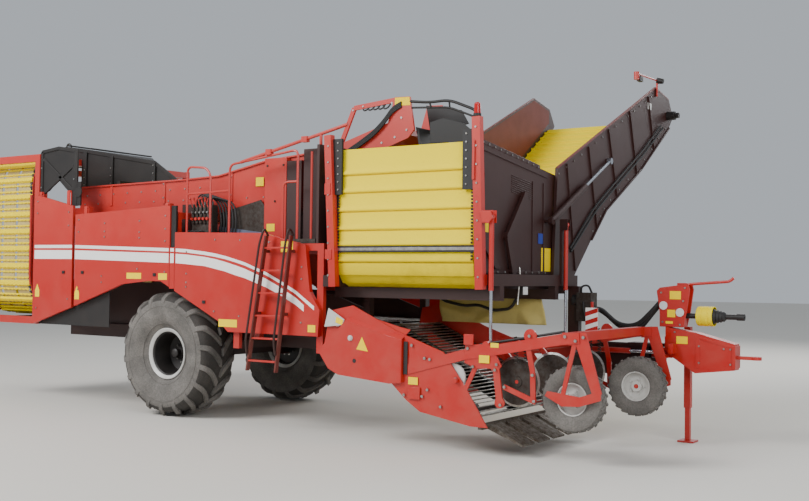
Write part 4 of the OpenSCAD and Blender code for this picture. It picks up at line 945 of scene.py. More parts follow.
class HARVESTER_OT_bunker(bpy.types.Operator):
    """Slatted side that curves into the floor, with chains, bar and fittings"""

    bl_idname = "harvester.bunker"
    bl_label = "Bunker"

    def execute(self, context):
        bunker_slats()
        backing = (block, (3.06, -1.614, 2.285), (5.03, -1.602, 2.36))
        build("bunker_bar_backing", "black rubber", "chassis", backing, edge=0.003)
        bar = (block, (3.05, -1.62, 2.306), (5.04, -1.612, 2.342))
        build("bunker_bar", "bright steel", "chassis", bar, edge=0.002)
        bunker_front()
        bunker_posts()
        return {"FINISHED"}


# The boom, Y and Z: its walls' lower and upper lines, the feet and heads of its
# ribs, and its floor with the number of slats on each stretch
BOOM_LOW = [(1.43, 2.53), (1.93, 2.97), (3.24, 3.66), (4.44, 4.44)]
BOOM_HIGH = [(0.37, 3.42), (1.24, 3.815), (2.11, 4.21), (2.98, 4.605), (3.85, 5.0), (4.43, 4.89)]
BOOM_RIBS = (((0.9, 2.1), (0.62, 3.5)), ((1.6, 2.7), (1.3, 3.8)), ((2.3, 3.19), (1.98, 4.12)),
             ((3.05, 3.58), (2.76, 4.48)), ((3.75, 4.02), (3.5, 4.81)))
BOOM_FLOOR = [(0.56, 1.965), (0.76, 2.04), (1.45, 2.66), (1.95, 3.08), (3.26, 3.78), (4.38, 4.53)]
BOOM_SLATS = (1, 5, 4, 8, 7)
# The far wall's inner face where the crop rubs it
RUBBED = [(0.72, 2.2), (1.43, 2.62), (1.93, 3.0), (3.24, 3.86), (4.4, 4.66), (4.4, 4.86), (3.84, 4.97),
          (0.4, 3.4)]
BOOM_HOSES = (
    [(5.13, 0.75, 2.35), (5.14, 1.5, 2.92), (5.14, 2.4, 3.42), (5.14, 3.3, 3.9), (5.14, 4.1, 4.4)],
    [(5.13, 0.72, 2.39), (5.14, 1.46, 2.97), (5.14, 2.36, 3.47), (5.14, 3.26, 3.95), (5.14, 4.0, 4.42)],
)


def boom_walls():
    """Ribs, edges and bolts of the boom's two walls, and the rubbed face."""
    ribs = [(beam, (x, *a), (x, *b), 0.035, 0.006) for x in (5.118, 2.952) for a, b in BOOM_RIBS]
    build("boom_ribs", "brown red enamel", "boom", *ribs, edge=0.003)
    pairs = list(zip(BOOM_HIGH, BOOM_HIGH[1:]))
    edges = [(beam, (x, *a), (x, *b), 0.034, 0.022) for a, b in pairs for x in (5.1, 2.985)]
    build("boom_top_edges", "shaded red", "boom", *edges, edge=0.003)
    pairs = list(zip(BOOM_LOW, BOOM_LOW[1:]))
    edges = [(beam, (x, *a), (x, *b), 0.06, 0.025) for a, b in pairs for x in (5.105, 2.97)]
    build("boom_low_edges", "brown red enamel", "boom", *edges, edge=0.004)
    spots = [(5.115, y - 0.02, z + 0.07) for a, b in pairs
             for y, z in (Vector(a).lerp(Vector(b), t) for t in (0.12, 0.37, 0.62, 0.87))]
    spots += [(5.115, y + 0.02, z - 0.07) for y, z in between(BOOM_HIGH[0], BOOM_HIGH[4], 16)]
    build("boom_bolts", "bright steel", "boom", (bolts, spots, (1, 0, 0)), weld=False)
    build("boom_rubbed_wall", "rubbed wall", "boom", (slab, RUBBED, "x", 3.0052, 3.007))


def boom_slats():
    """Flights across the boom's floor on its upper and lower runs."""
    upper, lower = [], []
    for start, end, count in zip(BOOM_FLOOR, BOOM_FLOOR[1:], BOOM_SLATS):
        start, end = Vector(start), Vector(end)
        way = (end - start).normalized()
        over = Vector((-way.y, way.x))
        for i in range(count):
            foot = start.lerp(end, i / count)
            for run, side in ((upper, 1), (lower, -1)):
                for out, along in ((0.015, 0.01), (0.045, 0.022), (0.045, 0.04), (0.018, 0.075)):
                    run.append(foot + over * side * out + way * along)
    upper.append(end + over * 0.015)
    lower.append(end - over * 0.015)
    floor = (slab, upper[::-1] + lower, "x", 3.0085, 5.0725)
    build("boom_slats", "yellow plastic", "boom", floor, replaces=["boom_web"], edge=0.003)


class HARVESTER_OT_boom(bpy.types.Operator):
    """Ribs, edges, rubbed wall, slats and hoses of the discharge boom"""

    bl_idname = "harvester.boom"
    bl_label = "Discharge boom"

    def execute(self, context):
        boom_walls()
        boom_slats()
        hoses = [(tube, path, 0.014, 8, 0.2) for path in BOOM_HOSES]
        build("boom_hoses", "black rubber", "boom", *hoses)
        case = (pin, (5.115, 4.36, 4.62), (5.25, 4.36, 4.62), 0.07, 24)
        cap = (pin, (5.25, 4.36, 4.62), (5.31, 4.36, 4.62), 0.045, 20)
        build("boom_motor", "black enamel", "boom", case, cap, edge=0.004)
        build("boom_plate", "silver enamel", "boom", (block, (5.1155, 3.5, 4.62), (5.1175, 3.66, 4.72)))
        near = (pin, (5.13, 3.86, 5.11), (5.23, 3.86, 5.09), 0.05, 20, 0.04)
        far = (block, (5.1, 3.08, 4.98), (5.16, 3.2, 5.06))
        build("camera_heads", "black enamel", "boom", near, far, edge=0.004)
        return {"FINISHED"}


# Rod webs: name, body, first and last shaft (X, Z), radius, reach across (Y)
WEBS = (
    ("main_web", "chassis", (2.9, 1.33), (-2.45, 1.48), 0.07, -0.612, 0.612),
    ("intake_web", "intake", (3.4, 1.29), (5.06, 0.5), 0.085, -1.69, 0.29),
)
ROD_RADIUS, BELT_WIDTH = 0.0075, 0.06


def web_belt(bm, bends, radius, low):
    """A thin closed band round two shafts."""
    reach = radius + 0.004
    loops = []
    for r in (reach, reach * (1 - 0.014 / radius)):
        spots = [turned(middle, r, angle) for middle, angle in bends]
        for y in (low, low + BELT_WIDTH):
            loops.append(linked(bm, [at(p.x, y, p.y) for p in spots])[1])
    for first, second in ((0, 1), (2, 3), (0, 2), (1, 3)):
        bmesh.ops.bridge_loops(bm, edges=loops[first] + loops[second])


def web(name, body, start, end, radius, y0, y1):
    """Rods, belts and shafts of one crop web."""
    a, b = Vector(start), Vector(end)
    way = (b - a).normalized()
    over = Vector((-way.y, way.x))
    lean = math.atan2(over.y, over.x)
    count = round((b - a).length / sizes().rod_pitch)
    spots = [a.lerp(b, i / count) + over * side * radius for i in range(count + 1) for side in (1, -1)]
    for middle, turn in ((a, 1), (b, -1)):
        spots += [turned(middle, radius, lean + turn * math.pi * i / 5) for i in range(1, 5)]
    rods = [(pin, (x, y0 + 0.012, z), (x, y1 - 0.012, z), ROD_RADIUS, 6) for x, z in spots]
    build(f"{name}_rods", "bright steel", body, *rods, replaces=[name], smooth=50, weld=False)
    bends = [(p, base + math.pi * i / 8) for p, base in ((a, lean), (b, lean + math.pi)) for i in range(9)]
    belts = [(web_belt, bends, radius, y) for y in (y0, (y0 + y1) / 2 - 0.03, y1 - BELT_WIDTH)]
    build(f"{name}_belts", "black rubber", body, *belts, weld=False)
    shafts = [(pin, (x, y0 - 0.02, z), (x, y1 + 0.02, z), 0.022) for x, z in (start, end)]
    for x, z in (start, end):
        for y in (y0 + 0.01, (y0 + y1) / 2 - 0.02, y1 - 0.05):
            shafts.append((pin, (x, y, z), (x, y + 0.04, z), radius - 0.016, 20))
    build(f"{name}_shafts", "dark steel", body, *shafts, weld=False)


class HARVESTER_OT_webs(bpy.types.Operator):
    """Rod webs of the intake and the main channel"""

    bl_idname = "harvester.webs"
    bl_label = "Crop webs"

    def execute(self, context):
        for values in WEBS:
            web(*values)
        return {"FINISHED"}


# Rails over the platform, each bent from one tube, X and Z
RAILS = (
    ((0.4, 2.46), (0.4, 3.48), (0.75, 3.45), (0.84, 3.35), (0.84, 2.46)),
    ((1.19, 2.46), (1.19, 3.47), (2.37, 3.61), (2.37, 2.46)),
    ((2.13, 2.46), (2.13, 3.2), (2.36, 3.2)),
    ((2.6, 2.46), (2.6, 3.57)),
    ((0.42, 3.1), (1.18, 3.12)),
)
RAIL_Y = -1.54
# The ladder's two hand rails: their X from the top down, then Y and Z of both
LADDER_RAILS = ((2.05, 2.07, 2.0, 1.79, 1.77), (2.47, 2.48, 2.43, 2.26, 2.25))
LADDER_RAIL_Y, LADDER_RAIL_Z = (-1.73, -1.83, -1.84, -1.84, -1.79), (2.5, 2.6, 2.4, 1.15, 0.98)
LADDER_RUNGS = 6


def platform():
    """Rails over the platform, and the ladder with its hand rails."""
    clamps = ((1.886, 3.602), (2.487, 3.733))
    build(
        "platform_rails", "red enamel", "chassis",
        *[(tube, [(x, RAIL_Y, z) for x, z in rail], 0.016, 10, 0.09) for rail in RAILS],
        (tube, [(1.39, RAIL_Y, 3.494), (3.16, RAIL_Y, 3.88)], 0.022, 12),
        (pin, (2.74, RAIL_Y, 3.6), (2.74, RAIL_Y, 3.79), 0.02),
        *[(block, (x - 0.045, -1.572, z - 0.037), (x + 0.045, -1.508, z + 0.037)) for x, z in clamps],
        replaces=["handrails"],
    )
    rails = [(tube, list(zip(xs, LADDER_RAIL_Y, LADDER_RAIL_Z)), 0.015, 10, 0.08) for xs in LADDER_RAILS]
    build("ladder_rails", "brown red enamel", "chassis", *rails)
    parts = []
    for foot, head in (((1.75, 0.76), (2.04, 2.5)), ((2.23, 0.76), (2.45, 2.5))):
        parts.append((beam, (foot[0], -1.75, foot[1]), (head[0], -1.75, head[1]), 0.06, 0.026))
        for x, z in (Vector(foot).lerp(Vector(head), t) for t in (0.425, 0.885)):
            parts.append((block, (x - 0.012, -1.73, z - 0.02), (x + 0.012, -1.64, z + 0.02)))
    build("ladder_uprights", "shaded red", "chassis", *parts, replaces=["ladder"], edge=0.003)
    rungs = []
    for t in ((i + 0.4) / LADDER_RUNGS for i in range(LADDER_RUNGS)):
        z = 0.776 + 1.74 * t
        rungs.append((block, (1.75 + 0.29 * t, -1.775, z - 0.012), (2.23 + 0.22 * t, -1.725, z + 0.012)))
    build("ladder_rungs", "red enamel", "chassis", *rungs, edge=0.003)


# The hood, X and Z: its right wall, its short left strip, its cover (with the
# cover's left edge) and its folded upper edge
HOOD_WALL = [(-3.73, 3.925), (-2.81, 3.925), (-2.81, 3.81), (-2.73, 3.81), (-2.73, 3.32), (-0.55, 3.32),
             (-0.51, 3.38), (-1.05, 3.71), (-2.54, 3.96), (-3.1, 4.04), (-3.73, 3.99)]
HOOD_STRIP = [(-3.73, 3.925), (-2.84, 3.925), (-2.84, 4.0), (-3.1, 4.04), (-3.73, 3.99)]
HOOD_COVER = ((-3.73, 3.99, 0.8), (-3.1, 4.04, 0.8), (-2.84, 4.0, 0.8), (-2.54, 3.96, 0.53),
              (-1.8, 3.836, -0.13), (-1.06, 3.712, -0.79))
HOOD_EDGE = ((-3.73, 3.96), (-3.1, 4.01), (-2.54, 3.93), (-1.05, 3.68), (-0.51, 3.35))
# Over the right rear door: Y of the sheet, its braces, and its halves round a window
BRACE_Y = -1.575
BRACES = (((-2.69, 3.2), (-2.69, 3.86)), ((-1.93, 3.8), (-1.93, 3.16)), ((-2.66, 3.74), (-1.95, 3.22)),
          ((-1.95, 3.62), (-2.66, 3.2)), ((-2.69, 3.85), (-2.3, 3.89)), ((-2.3, 3.89), (-1.93, 3.83)))
BRACE_SHEETS = ([(-2.71, 3.86), (-2.3, 3.89), (-2.3, 3.4), (-2.51, 3.24), (-2.71, 3.2)],
                [(-2.3, 3.89), (-1.93, 3.83), (-1.93, 3.16), (-2.1, 3.24), (-2.3, 3.4)])


def hood_cover(bm):
    """The sheet between the hood's walls, cut back on the left."""
    rows = [[bm.verts.new(at(x, y, z - 0.002)) for y in (-0.8, left)] for x, z, left in HOOD_COVER]
    faces = [bm.faces.new((a[0], a[1], b[1], b[0])) for a, b in zip(rows, rows[1:])]
    thicken(bm, faces, (0, 0, -0.008))


def hood():
    """Sheets, stiffeners, braces, lifting eye and bolts of the hood."""
    build(
        "hood_sheets", "black enamel", "chassis",
        (slab, HOOD_WALL, "y", -0.8, -0.788),
        (slab, HOOD_STRIP, "y", 0.788, 0.8),
        (block, (-3.73, -0.788, 3.925), (-3.72, 0.788, 3.985)),
        (block, (-1.5, -1.13, 3.33), (-1.44, -0.8, 3.39)),
        (hood_cover,),
        replaces=["rear_hood"],
    )
    caps = ((-3.1, 4.06), (-2.54, 3.98))
    posts = ((-3.69, 3.93, 3.97), (-2.62, 3.33, 3.93), (-2.0, 3.33, 3.83), (-1.05, 3.33, 3.68))
    y = BRACE_Y
    build(
        "hood_frame", "black enamel", "chassis",
        *strips(zip(HOOD_EDGE, HOOD_EDGE[1:]), -0.807, 0.014, 0.06),
        *[(block, (x - 0.035, -0.83, low), (x + 0.035, -0.8, high)) for x, low, high in posts],
        *[(block, (x - 0.02, -0.79, z - 0.01), (x + 0.02, 0.5, z + 0.012)) for x, z in caps],
        *strips(BRACES, y, 0.03, 0.05),
        *[(slab, sheet, "y", y, y + 0.006) for sheet in BRACE_SHEETS],
        (block, (-1.98, y - 0.012, 3.0), (-1.87, y + 0.02, 3.85)),
        (block, (-1.87, y - 0.006, 3.0), (-1.79, y + 0.02, 3.36)),
        (pin, (-1.83, y - 0.02, 3.2), (-1.83, y, 3.2), 0.075, 24),
        edge=0.003,
    )
    eye = [turned((-3.55, 4.1), 0.06, math.radians(250 - 20 * i)) for i in range(17)]
    build("lifting_eye", "black enamel", "chassis", (tube, [(x, -0.4, z) for x, z in eye], 0.012, 8))
    spots = [p for x in (-2.62, -2.0, -1.05) for p in between((x, -0.83, 3.4), (x, -0.83, 3.64), 3)]
    corners = ((-2.69, -1.59, 3.3), (-2.69, -1.59, 3.6), (-1.93, -1.59, 3.4))
    heads = ((bolts, spots, (0, -1, 0), 0.012), (bolts, corners, (0, -1, 0)))
    build("hood_bolts", "bright steel", "chassis", *heads, weld=False)


def table_walls():
    """Bolts, seams and the column on the picking table's walls."""
    heads, seams = [], []
    bends = ((-2.26, 3.31), (-0.1, 3.34), (0.68, 3.37), (1.55, 3.54), (2.56, 3.62))
    for side, _ in SIDES:
        y, way = side * 1.19, (0, side, 0)
        plate = [(x, side * 1.205, z) for x, high in ((-0.42, 3.3), (0.9, 3.35)) for z in (high, 3.1)]
        heads.append((bolts, between((-2.1, y, 3.18), (0.3, y, 3.22), 9), way))
        heads.append((bolts, between((-2.15, y, 3.05), (2.4, y, 3.05), 16), way, 0.012))
        heads.append((bolts, plate, way))
        for x, high in ((-1.55, 3.32), (-0.42, 3.34), (0.9, 3.42), (2.3, 3.6)):
            seams.append((block, (x - 0.025, y, 3.01), (x + 0.025, side * 1.205, high)))
        seams += strips(zip(bends, bends[1:]), side * 1.2, 0.03, 0.025)
    seams.append((block, (1.57, -1.27, 2.46), (1.95, -1.192, 3.56)))
    build("wall_bolts", "bright steel", "chassis", *heads, weld=False)
    build("wall_seams", "red enamel", "chassis", *seams, edge=0.004)
    build(
        "dark_panels", "brown red enamel", "chassis",
        (block, (1.952, -1.262, 2.46), (2.2, -1.192, 3.51)),
        (block, (2.3, -1.34, 2.462), (2.718, -1.31, 3.64)),
        (block, (0.06, -1.3, 2.46), (0.3, -1.2, 2.98)),
        edge=0.005,
    )
    upper = (block, (1.36, -1.2075, 3.2), (1.5, -1.2055, 3.32))
    lower = (block, (1.62, -1.272, 2.58), (1.76, -1.2705, 2.68))
    build("wall_labels", "yellow label", "chassis", upper, lower)
    spots = [(x, -1.27, z) for x, z in ((1.76, 2.98), (1.62, 3.46), (1.9, 3.46), (1.9, 2.55))]
    build("column_bolts", "dark steel", "chassis", (bolts, spots, (0, -1, 0), 0.016), weld=False)


def valves():
    """Hoses and levers of the valve block, and the deflector's rubber lip."""
    hoses = []
    for i in range(6):
        x = 0.43 + 0.055 * i
        path = [(x, -1.37, 2.93), (x + 0.01, -1.39, 3.07), (x + 0.13, -1.34, 3.14 - 0.02 * i),
                (x + 0.34, -1.29, 2.98), (x + 0.4, -1.3, 2.7), (x + 0.34, -1.28, 2.465)]
        hoses.append((tube, path, sizes().hose, 8, 0.1))
    for x in (0.42 + 0.08 * i for i in range(4)):
        path = [(x, -1.42, 2.55), (x - 0.02, -1.5, 2.6), (x - 0.14, -1.49, 2.55), (x - 0.2, -1.44, 2.462)]
        hoses.append((tube, path, 0.012, 8, 0.05))
    build("valve_hoses", "black rubber", "chassis", *hoses)
    levers, unions = [], []
    for x in (0.42 + 0.072 * i for i in range(5)):
        levers.append((pin, (x, -1.44, 2.9), (x - 0.03, -1.47, 3.03), 0.007, 8))
        levers.append((ball, (x - 0.032, -1.472, 3.04), 0.017))
        levers.append((pin, (x, -1.45, 2.76), (x, -1.475, 2.76), 0.022, 6))
        unions.append((pin, (x, -1.36, 2.94), (x, -1.36, 3.0), 0.02, 6))
        unions.append((pin, (x, -1.45, 2.85), (x, -1.47, 2.85), 0.016, 6))
    build("valve_levers", "red enamel", "chassis", *levers)
    build("valve_fittings", "bright steel", "chassis", *unions, weld=False)
    lip = (slab, [(0.70, 2.465), (1.59, 2.465), (1.59, 2.56), (0.72, 2.66)], "y", -1.238, -1.2305)
    build("deflector_lip", "grey rubber", "chassis", lip, edge=0.002)


def conveyor():
    """Bolts, hoses, flaps and the guard rail of the filling conveyor."""
    body = "filling_conveyor"
    large = ((2.6, 3.46), (2.85, 3.55), (3.1, 3.63), (3.3, 3.7), (3.5, 3.76), (3.68, 3.84), (3.6, 4.0))
    small = ((2.65, 3.72), (2.84, 4.15), (3.45, 4.2), (3.0, 4.19))
    heads = [(bolts, [(x, -1.0, z) for x, z in spots], (0, -1, 0), radius) for spots, radius in
             ((large, 0.015), (small, 0.013))]
    build("conveyor_bolts", "bright steel", body, *heads, weld=False)
    route = ((2.7, -1.02, 3.6), (2.95, -1.03, 3.72), (3.2, -1.03, 3.86), (3.36, -1.03, 4.0),
             (3.47, -1.02, 4.14), (3.6, -1.005, 4.2))
    hoses = [(tube, [(x, y, z - 0.02 * i) for x, y, z in route], 0.012, 8, 0.1) for i in range(4)]
    for x in (2.98 + 0.08 * i for i in range(5)):
        path = [(x, -0.985, 4.2), (x + 0.02, -0.99, 4.13), (x + 0.09, -0.99, 4.15), (x + 0.12, -0.985, 4.2)]
        hoses.append((tube, path, 0.011, 8, 0.03))
    build("conveyor_hoses", "black rubber", body, *hoses)
    rail = [(3.71, -0.985, 4.2), (4.02, -1.0, 4.16), (4.3, -1.0, 4.17), (4.72, -1.0, 4.0), (4.78, -1.0, 3.72)]
    build(
        "conveyor_rail", "black enamel", body,
        (tube, rail, 0.018, 10, 0.12),
        (tube, [(3.71, -0.985, 4.12), (4.3, -1.0, 4.08), (4.75, -1.0, 3.9)], 0.013, 10, 0.1),
        (tube, [(4.02, -1.0, 4.15), (4.04, -1.0, 4.1)], 0.012, 8),
        (tube, [(4.3, -1.0, 4.17), (4.31, -1.0, 4.08)], 0.012, 8),
    )
    mouth = [(3.99, 3.92), (4.18, 3.96), (4.47, 3.88), (4.61, 3.77), (4.61, 3.65), (4.0, 3.66)]
    build(
        "conveyor_flaps", "black rubber", body,
        (slab, [(3.72, 4.2), (4.25, 4.1), (4.36, 3.92), (3.79, 3.84)], "y", -0.62, -0.6),
        (slab, [(3.78, 3.88), (3.82, 3.86), (3.9, 3.5), (3.86, 3.5)], "y", -0.95, -0.25),
        (slab, mouth, "y", -0.95, -0.93),
        edge=0.003,
    )
    label = (slab, [(3.495, 4.16), (3.73, 4.15), (3.715, 4.255), (3.497, 4.262)], "y", -1.0025, -1.0005)
    build("conveyor_label", "yellow label", body, label)


class HARVESTER_OT_upper_works(bpy.types.Operator):
    """Rails, hood braces, wall fittings, valves and the filling conveyor's details"""

    bl_idname = "harvester.upper_works"
    bl_label = "Upper works"

    def execute(self, context):
        for part in (platform, hood, table_walls, valves, conveyor):
            part()
        return {"FINISHED"}


# Blank yellow labels on the intake's right side, X, Z and size, and the bolts on both
# its sides, X and Z
INTAKE_LABELS = ((4.32, 0.79, 0.13, 0.085), (5.26, 1.09, 0.13, 0.085), (5.39, 1.25, 0.1, 0.05))
INTAKE_BOLTS = (
    (4.48, 1.06), (5.42, 1.04), (5.12, 1.0), (6.36, 1.34), (4.52, 0.7), (4.45, 0.62), (4.7, 0.52),
    (5.47, 0.6), (5.4, 0.98), (5.86, 0.95), (5.52, 0.8), (5.88, 0.67), (5.82, 1.37), (4.3, 1.2),
    (4.55, 1.05), (4.9, 0.85), (5.05, 1.2), (6.24, 1.38), (3.9, 0.8), (4.2, 0.62), (6.45, 1.38),
)
# The drive cover's upper edge, X and Z
COVER_EDGE = ((3.345, 1.452), (4.01, 1.29), (4.17, 1.26))
# Coulter discs, radius and distance from the middle, and their places across
COULTER_HALF = [(0.0, 0.012), (0.06, 0.012), (0.062, 0.004), (0.2, 0.006), (0.262, 0.004), (0.279, 0.0)]
COULTER_BACK = [(0.262, -0.002), (0.2, 0.0), (0.062, -0.004), (0.06, -0.012), (0.0, -0.012)]
COULTER_RIM = [(0.255, 0.0065), (0.2795, 0.0005), (0.2795, -0.0005), (0.255, -0.0045)]
COULTERS = (-1.6, -0.71, 0.18)
# The apron: its lower and upper edge and the folds in it, X and Z
APRON_LOW, APRON_HIGH = ((3.5, 1.4), (5.06, 1.4)), ((3.45, 1.79), (4.99, 1.79))
APRON_FOLDS = (((3.85, 1.79), (4.39, 1.58)), ((4.09, 1.4), (4.39, 1.58)), ((4.39, 1.58), (4.68, 1.6)),
               ((4.68, 1.6), (4.86, 1.4)), ((4.68, 1.6), (5.02, 1.74)), ((3.5, 1.6), (3.95, 1.5)))
FOLD_REACH = 0.15


def folded_cover(bm):
    """The drive cover's top, bent in from its upper edge."""
    loops = []
    for y, rise in ((-1.799, 0.0), (-1.665, 0.115)):
        loops += linked(bm, [at(x + rise * 0.4, y, z + rise) for x, z in COVER_EDGE], False)[1]
    thicken(bm, bmesh.ops.bridge_loops(bm, edges=loops)["faces"], (0, 0.004, -0.008))


def cover():
    """Folded top of the drive cover, its knob and the plate behind it."""
    lip = (block, (4.168, -1.799, 0.77), (4.176, -1.752, 1.26))
    build("cover_fold", "red enamel", "intake", (folded_cover,), lip, edge=0.003)
    build(
        "cover_knob", "silver enamel", "intake",
        (pin, (3.44, -1.8, 1.25), (3.44, -1.815, 1.25), 0.034, 24),
        (ball, (3.44, -1.818, 1.25), 0.024, (1, 0.5, 1.3)),
        edge=0.002,
    )
    hole = (pin, (3.5, -1.7995, 0.98), (3.5, -1.8035, 0.98), 0.026, 20)
    build("cover_hole", "black rubber", "intake", hole, (block, (4.19, -1.768, 0.86), (4.24, -1.7605, 1.24)))
    build(
        "grey_plate", "silver enamel", "intake",
        (slab, [(3.09, 1.6), (3.03, 1.37), (3.31, 1.4), (3.33, 1.47)], "y", -1.79, -1.775),
        (block, (3.2, -1.776, 1.38), (3.24, -1.75, 1.46)),
        edge=0.002,
    )


def coil(x, y, z):
    """A coil spring's path, up from a place."""
    turns = [(i, i * math.tau / 8) for i in range(72)]
    return [(x + 0.022 * math.cos(t), y + 0.022 * math.sin(t), z + 0.0044 * i) for i, t in turns]


def intake_front():
    """Roller disc, springs, hoses along the beam, and the marker board."""
    disc = (pin, (4.83, -1.69, 0.86), (4.83, -1.72, 0.86), 0.16, 40)
    boss = (pin, (4.83, -1.71, 0.86), (4.83, -1.735, 0.86), 0.05, 20)
    build("roller_disc", "silver enamel", "intake", disc, boss, edge=0.003)
    feet = [(x, y, z) for y in (-1.69, 0.29) for x, z in ((5.62, 1.04), (5.74, 1.07))]
    build("leg_springs", "dark steel", "intake", *[(tube, coil(*foot), 0.006, 6) for foot in feet])
    hoses = []
    for i in range(3):
        y = -1.715 + 0.035 * i
        route = ((3.5, 1.47 - 0.03 * i), (4.2, 1.25), (4.8, 1.08), (5.1, 1.235), (5.6, 1.32), (6.18, 1.425))
        hoses.append((tube, [(x, y, z) for x, z in route], sizes().hose, 8, 0.2))
    build("beam_hoses", "black rubber", "intake", *hoses)
    board = (block, (5.77, -0.2, 1.33), (5.93, -0.192, 1.65))
    build("marker_board", "stripe film", "intake", board, edge=0.002)
    parts = []
    for z in (1.33 + 0.107 * i for i in range(3)):
        outline = [(5.77, z), (5.93, z + 0.053), (5.93, z + 0.107), (5.77, z + 0.053)]
        parts.append((slab, outline, "y", -0.2025, -0.2005))
    build("marker_bands", "red lens", "intake", *parts)
    build(
        "marker_bracket", "red enamel", "intake",
        (beam, (5.85, -0.185, 1.3), (5.85, -0.185, 1.72), 0.02, 0.03),
        (beam, (5.85, -0.185, 1.33), (6.24, -0.185, 1.35), 0.03, 0.04),
        (block, (6.19, -0.22, 1.31), (6.205, -0.15, 1.42)),
        (pin, (4.9, -1.755, 0.83), (4.9, -1.8, 0.83), 0.03, 16),
        (block, (5.0, -1.775, 1.24), (5.12, -1.75, 1.36)),
        (block, (4.26, -1.775, 0.58), (4.42, -1.755, 0.72)),
        edge=0.003,
    )


def coulters():
    """Dished discs with a rubbed rim, and their hubs."""
    places = [across(5.59, y, 0.85) for y in COULTERS]
    for name, profile, finish, replaced in (
        ("coulter_plates", COULTER_HALF + COULTER_BACK, "dark steel", ["coulter_discs"]),
        ("coulter_rims", COULTER_RIM, "bright steel", []),
    ):
        make(name, repeated(shapes((revolved, profile, 56)), places), finish, "coulters", replaced)


def apron():
    """A creased sheet hung behind the intake: folds are ridges along lines."""
    bm = bmesh.new()
    bmesh.ops.create_grid(bm, x_segments=56, y_segments=16, size=0.5)
    for v in bm.verts:
        s, t = v.co.x + 0.5, v.co.y + 0.5
        low, high = (Vector(a).lerp(Vector(b), s) for a, b in (APRON_LOW, APRON_HIGH))
        p = low.lerp(high, t)
        ridge = 0.0
        for a, b in APRON_FOLDS:
            a, b = Vector(a), Vector(b)
            along = max(0.0, min(1.0, (p - a).dot(b - a) / (b - a).length_squared))
            ridge = max(ridge, 1 - (p - a.lerp(b, along)).length / FOLD_REACH)
        v.co = at(p.x, 0.196 - 0.07 * ridge * (1 - 0.7 * t), p.y)
    piece = make("creased_apron", bm, "yellow sheet", "chassis", ["yellow_apron"])
    piece.modifiers.new("cloth", "SOLIDIFY").thickness = 0.003


class HARVESTER_OT_intake(bpy.types.Operator):
    """Covers, labels, bolts, springs and the apron of the intake"""

    bl_idname = "harvester.intake"
    bl_label = "Intake"

    def execute(self, context):
        heads = []
        for x, z in INTAKE_BOLTS:
            heads.append((bolts, [(x, -1.76, z)], (0, -1, 0), 0.018, 0.016))
            heads.append((bolts, [(x, 0.36, z)], (0, 1, 0), 0.018, 0.016))
        build("intake_bolts", "bright steel", "intake", *heads, weld=False)
        build(
            "intake_labels", "yellow label", "intake",
            *[(slab, framed(*label), "y", -1.7625, -1.7602) for label in INTAKE_LABELS],
            (slab, [(3.53, 1.12), (3.7, 1.1), (3.61, 1.27)], "y", -1.802, -1.8002),
            (slab, [(3.2, 1.43), (3.3, 1.4), (3.32, 1.46), (3.22, 1.5)], "y", -1.794, -1.7915),
        )
        for part in (cover, intake_front, coulters, apron):
            part()
        return {"FINISHED"}


# The drawbar's hose tower and the neck's gusset, X and Z
TOWER_SIDE = [(6.4, 1.42), (6.7, 1.42), (6.74, 1.6), (6.78, 1.88), (6.76, 1.95), (6.4, 1.9), (6.36, 1.86),
              (6.4, 1.6)]
GUSSET = [(6.26, 1.19), (5.62, 1.19), (5.56, 0.96), (5.62, 0.82), (5.86, 0.76), (5.98, 0.99), (6.26, 1.02)]
# Bolts on the tower and on the drawbar
TOWER_BOLTS = ((6.42, 1.84), (6.72, 1.9), (6.7, 1.74), (6.44, 1.48), (6.66, 1.45))
DRAWBAR_BOLTS = ((6.9, 1.2), (6.9, 1.0), (7.2, 1.18), (7.28, 1.18), (7.28, 1.0), (6.6, 1.36))
# The input shaft's guard: radius, then distance along the shaft
GUARD_CONE = [(0.034, 0.0), (0.112, 0.0), (0.118, 0.008), (0.12, 0.05), (0.113, 0.056), (0.113, 0.066),
              (0.12, 0.072), (0.12, 0.13), (0.113, 0.136), (0.113, 0.146), (0.12, 0.152), (0.12, 0.2),
              (0.11, 0.2), (0.108, 0.02), (0.034, 0.02)]
GUARD_BOOT = [(0.034, 0.12), (0.088, 0.125), (0.088, 0.2), (0.072, 0.225), (0.08, 0.24), (0.064, 0.262),
              (0.072, 0.278), (0.056, 0.3), (0.062, 0.314), (0.044, 0.335), (0.034, 0.34)]
FLOOR_HOSE = [(3.42, 0.13, 1.8), (3.58, 0.1, 1.68), (3.9, 0.09, 1.62), (4.12, 0.09, 1.64), (4.34, 0.09, 1.57),
              (4.6, 0.1, 1.6), (4.7, 0.13, 1.8)]


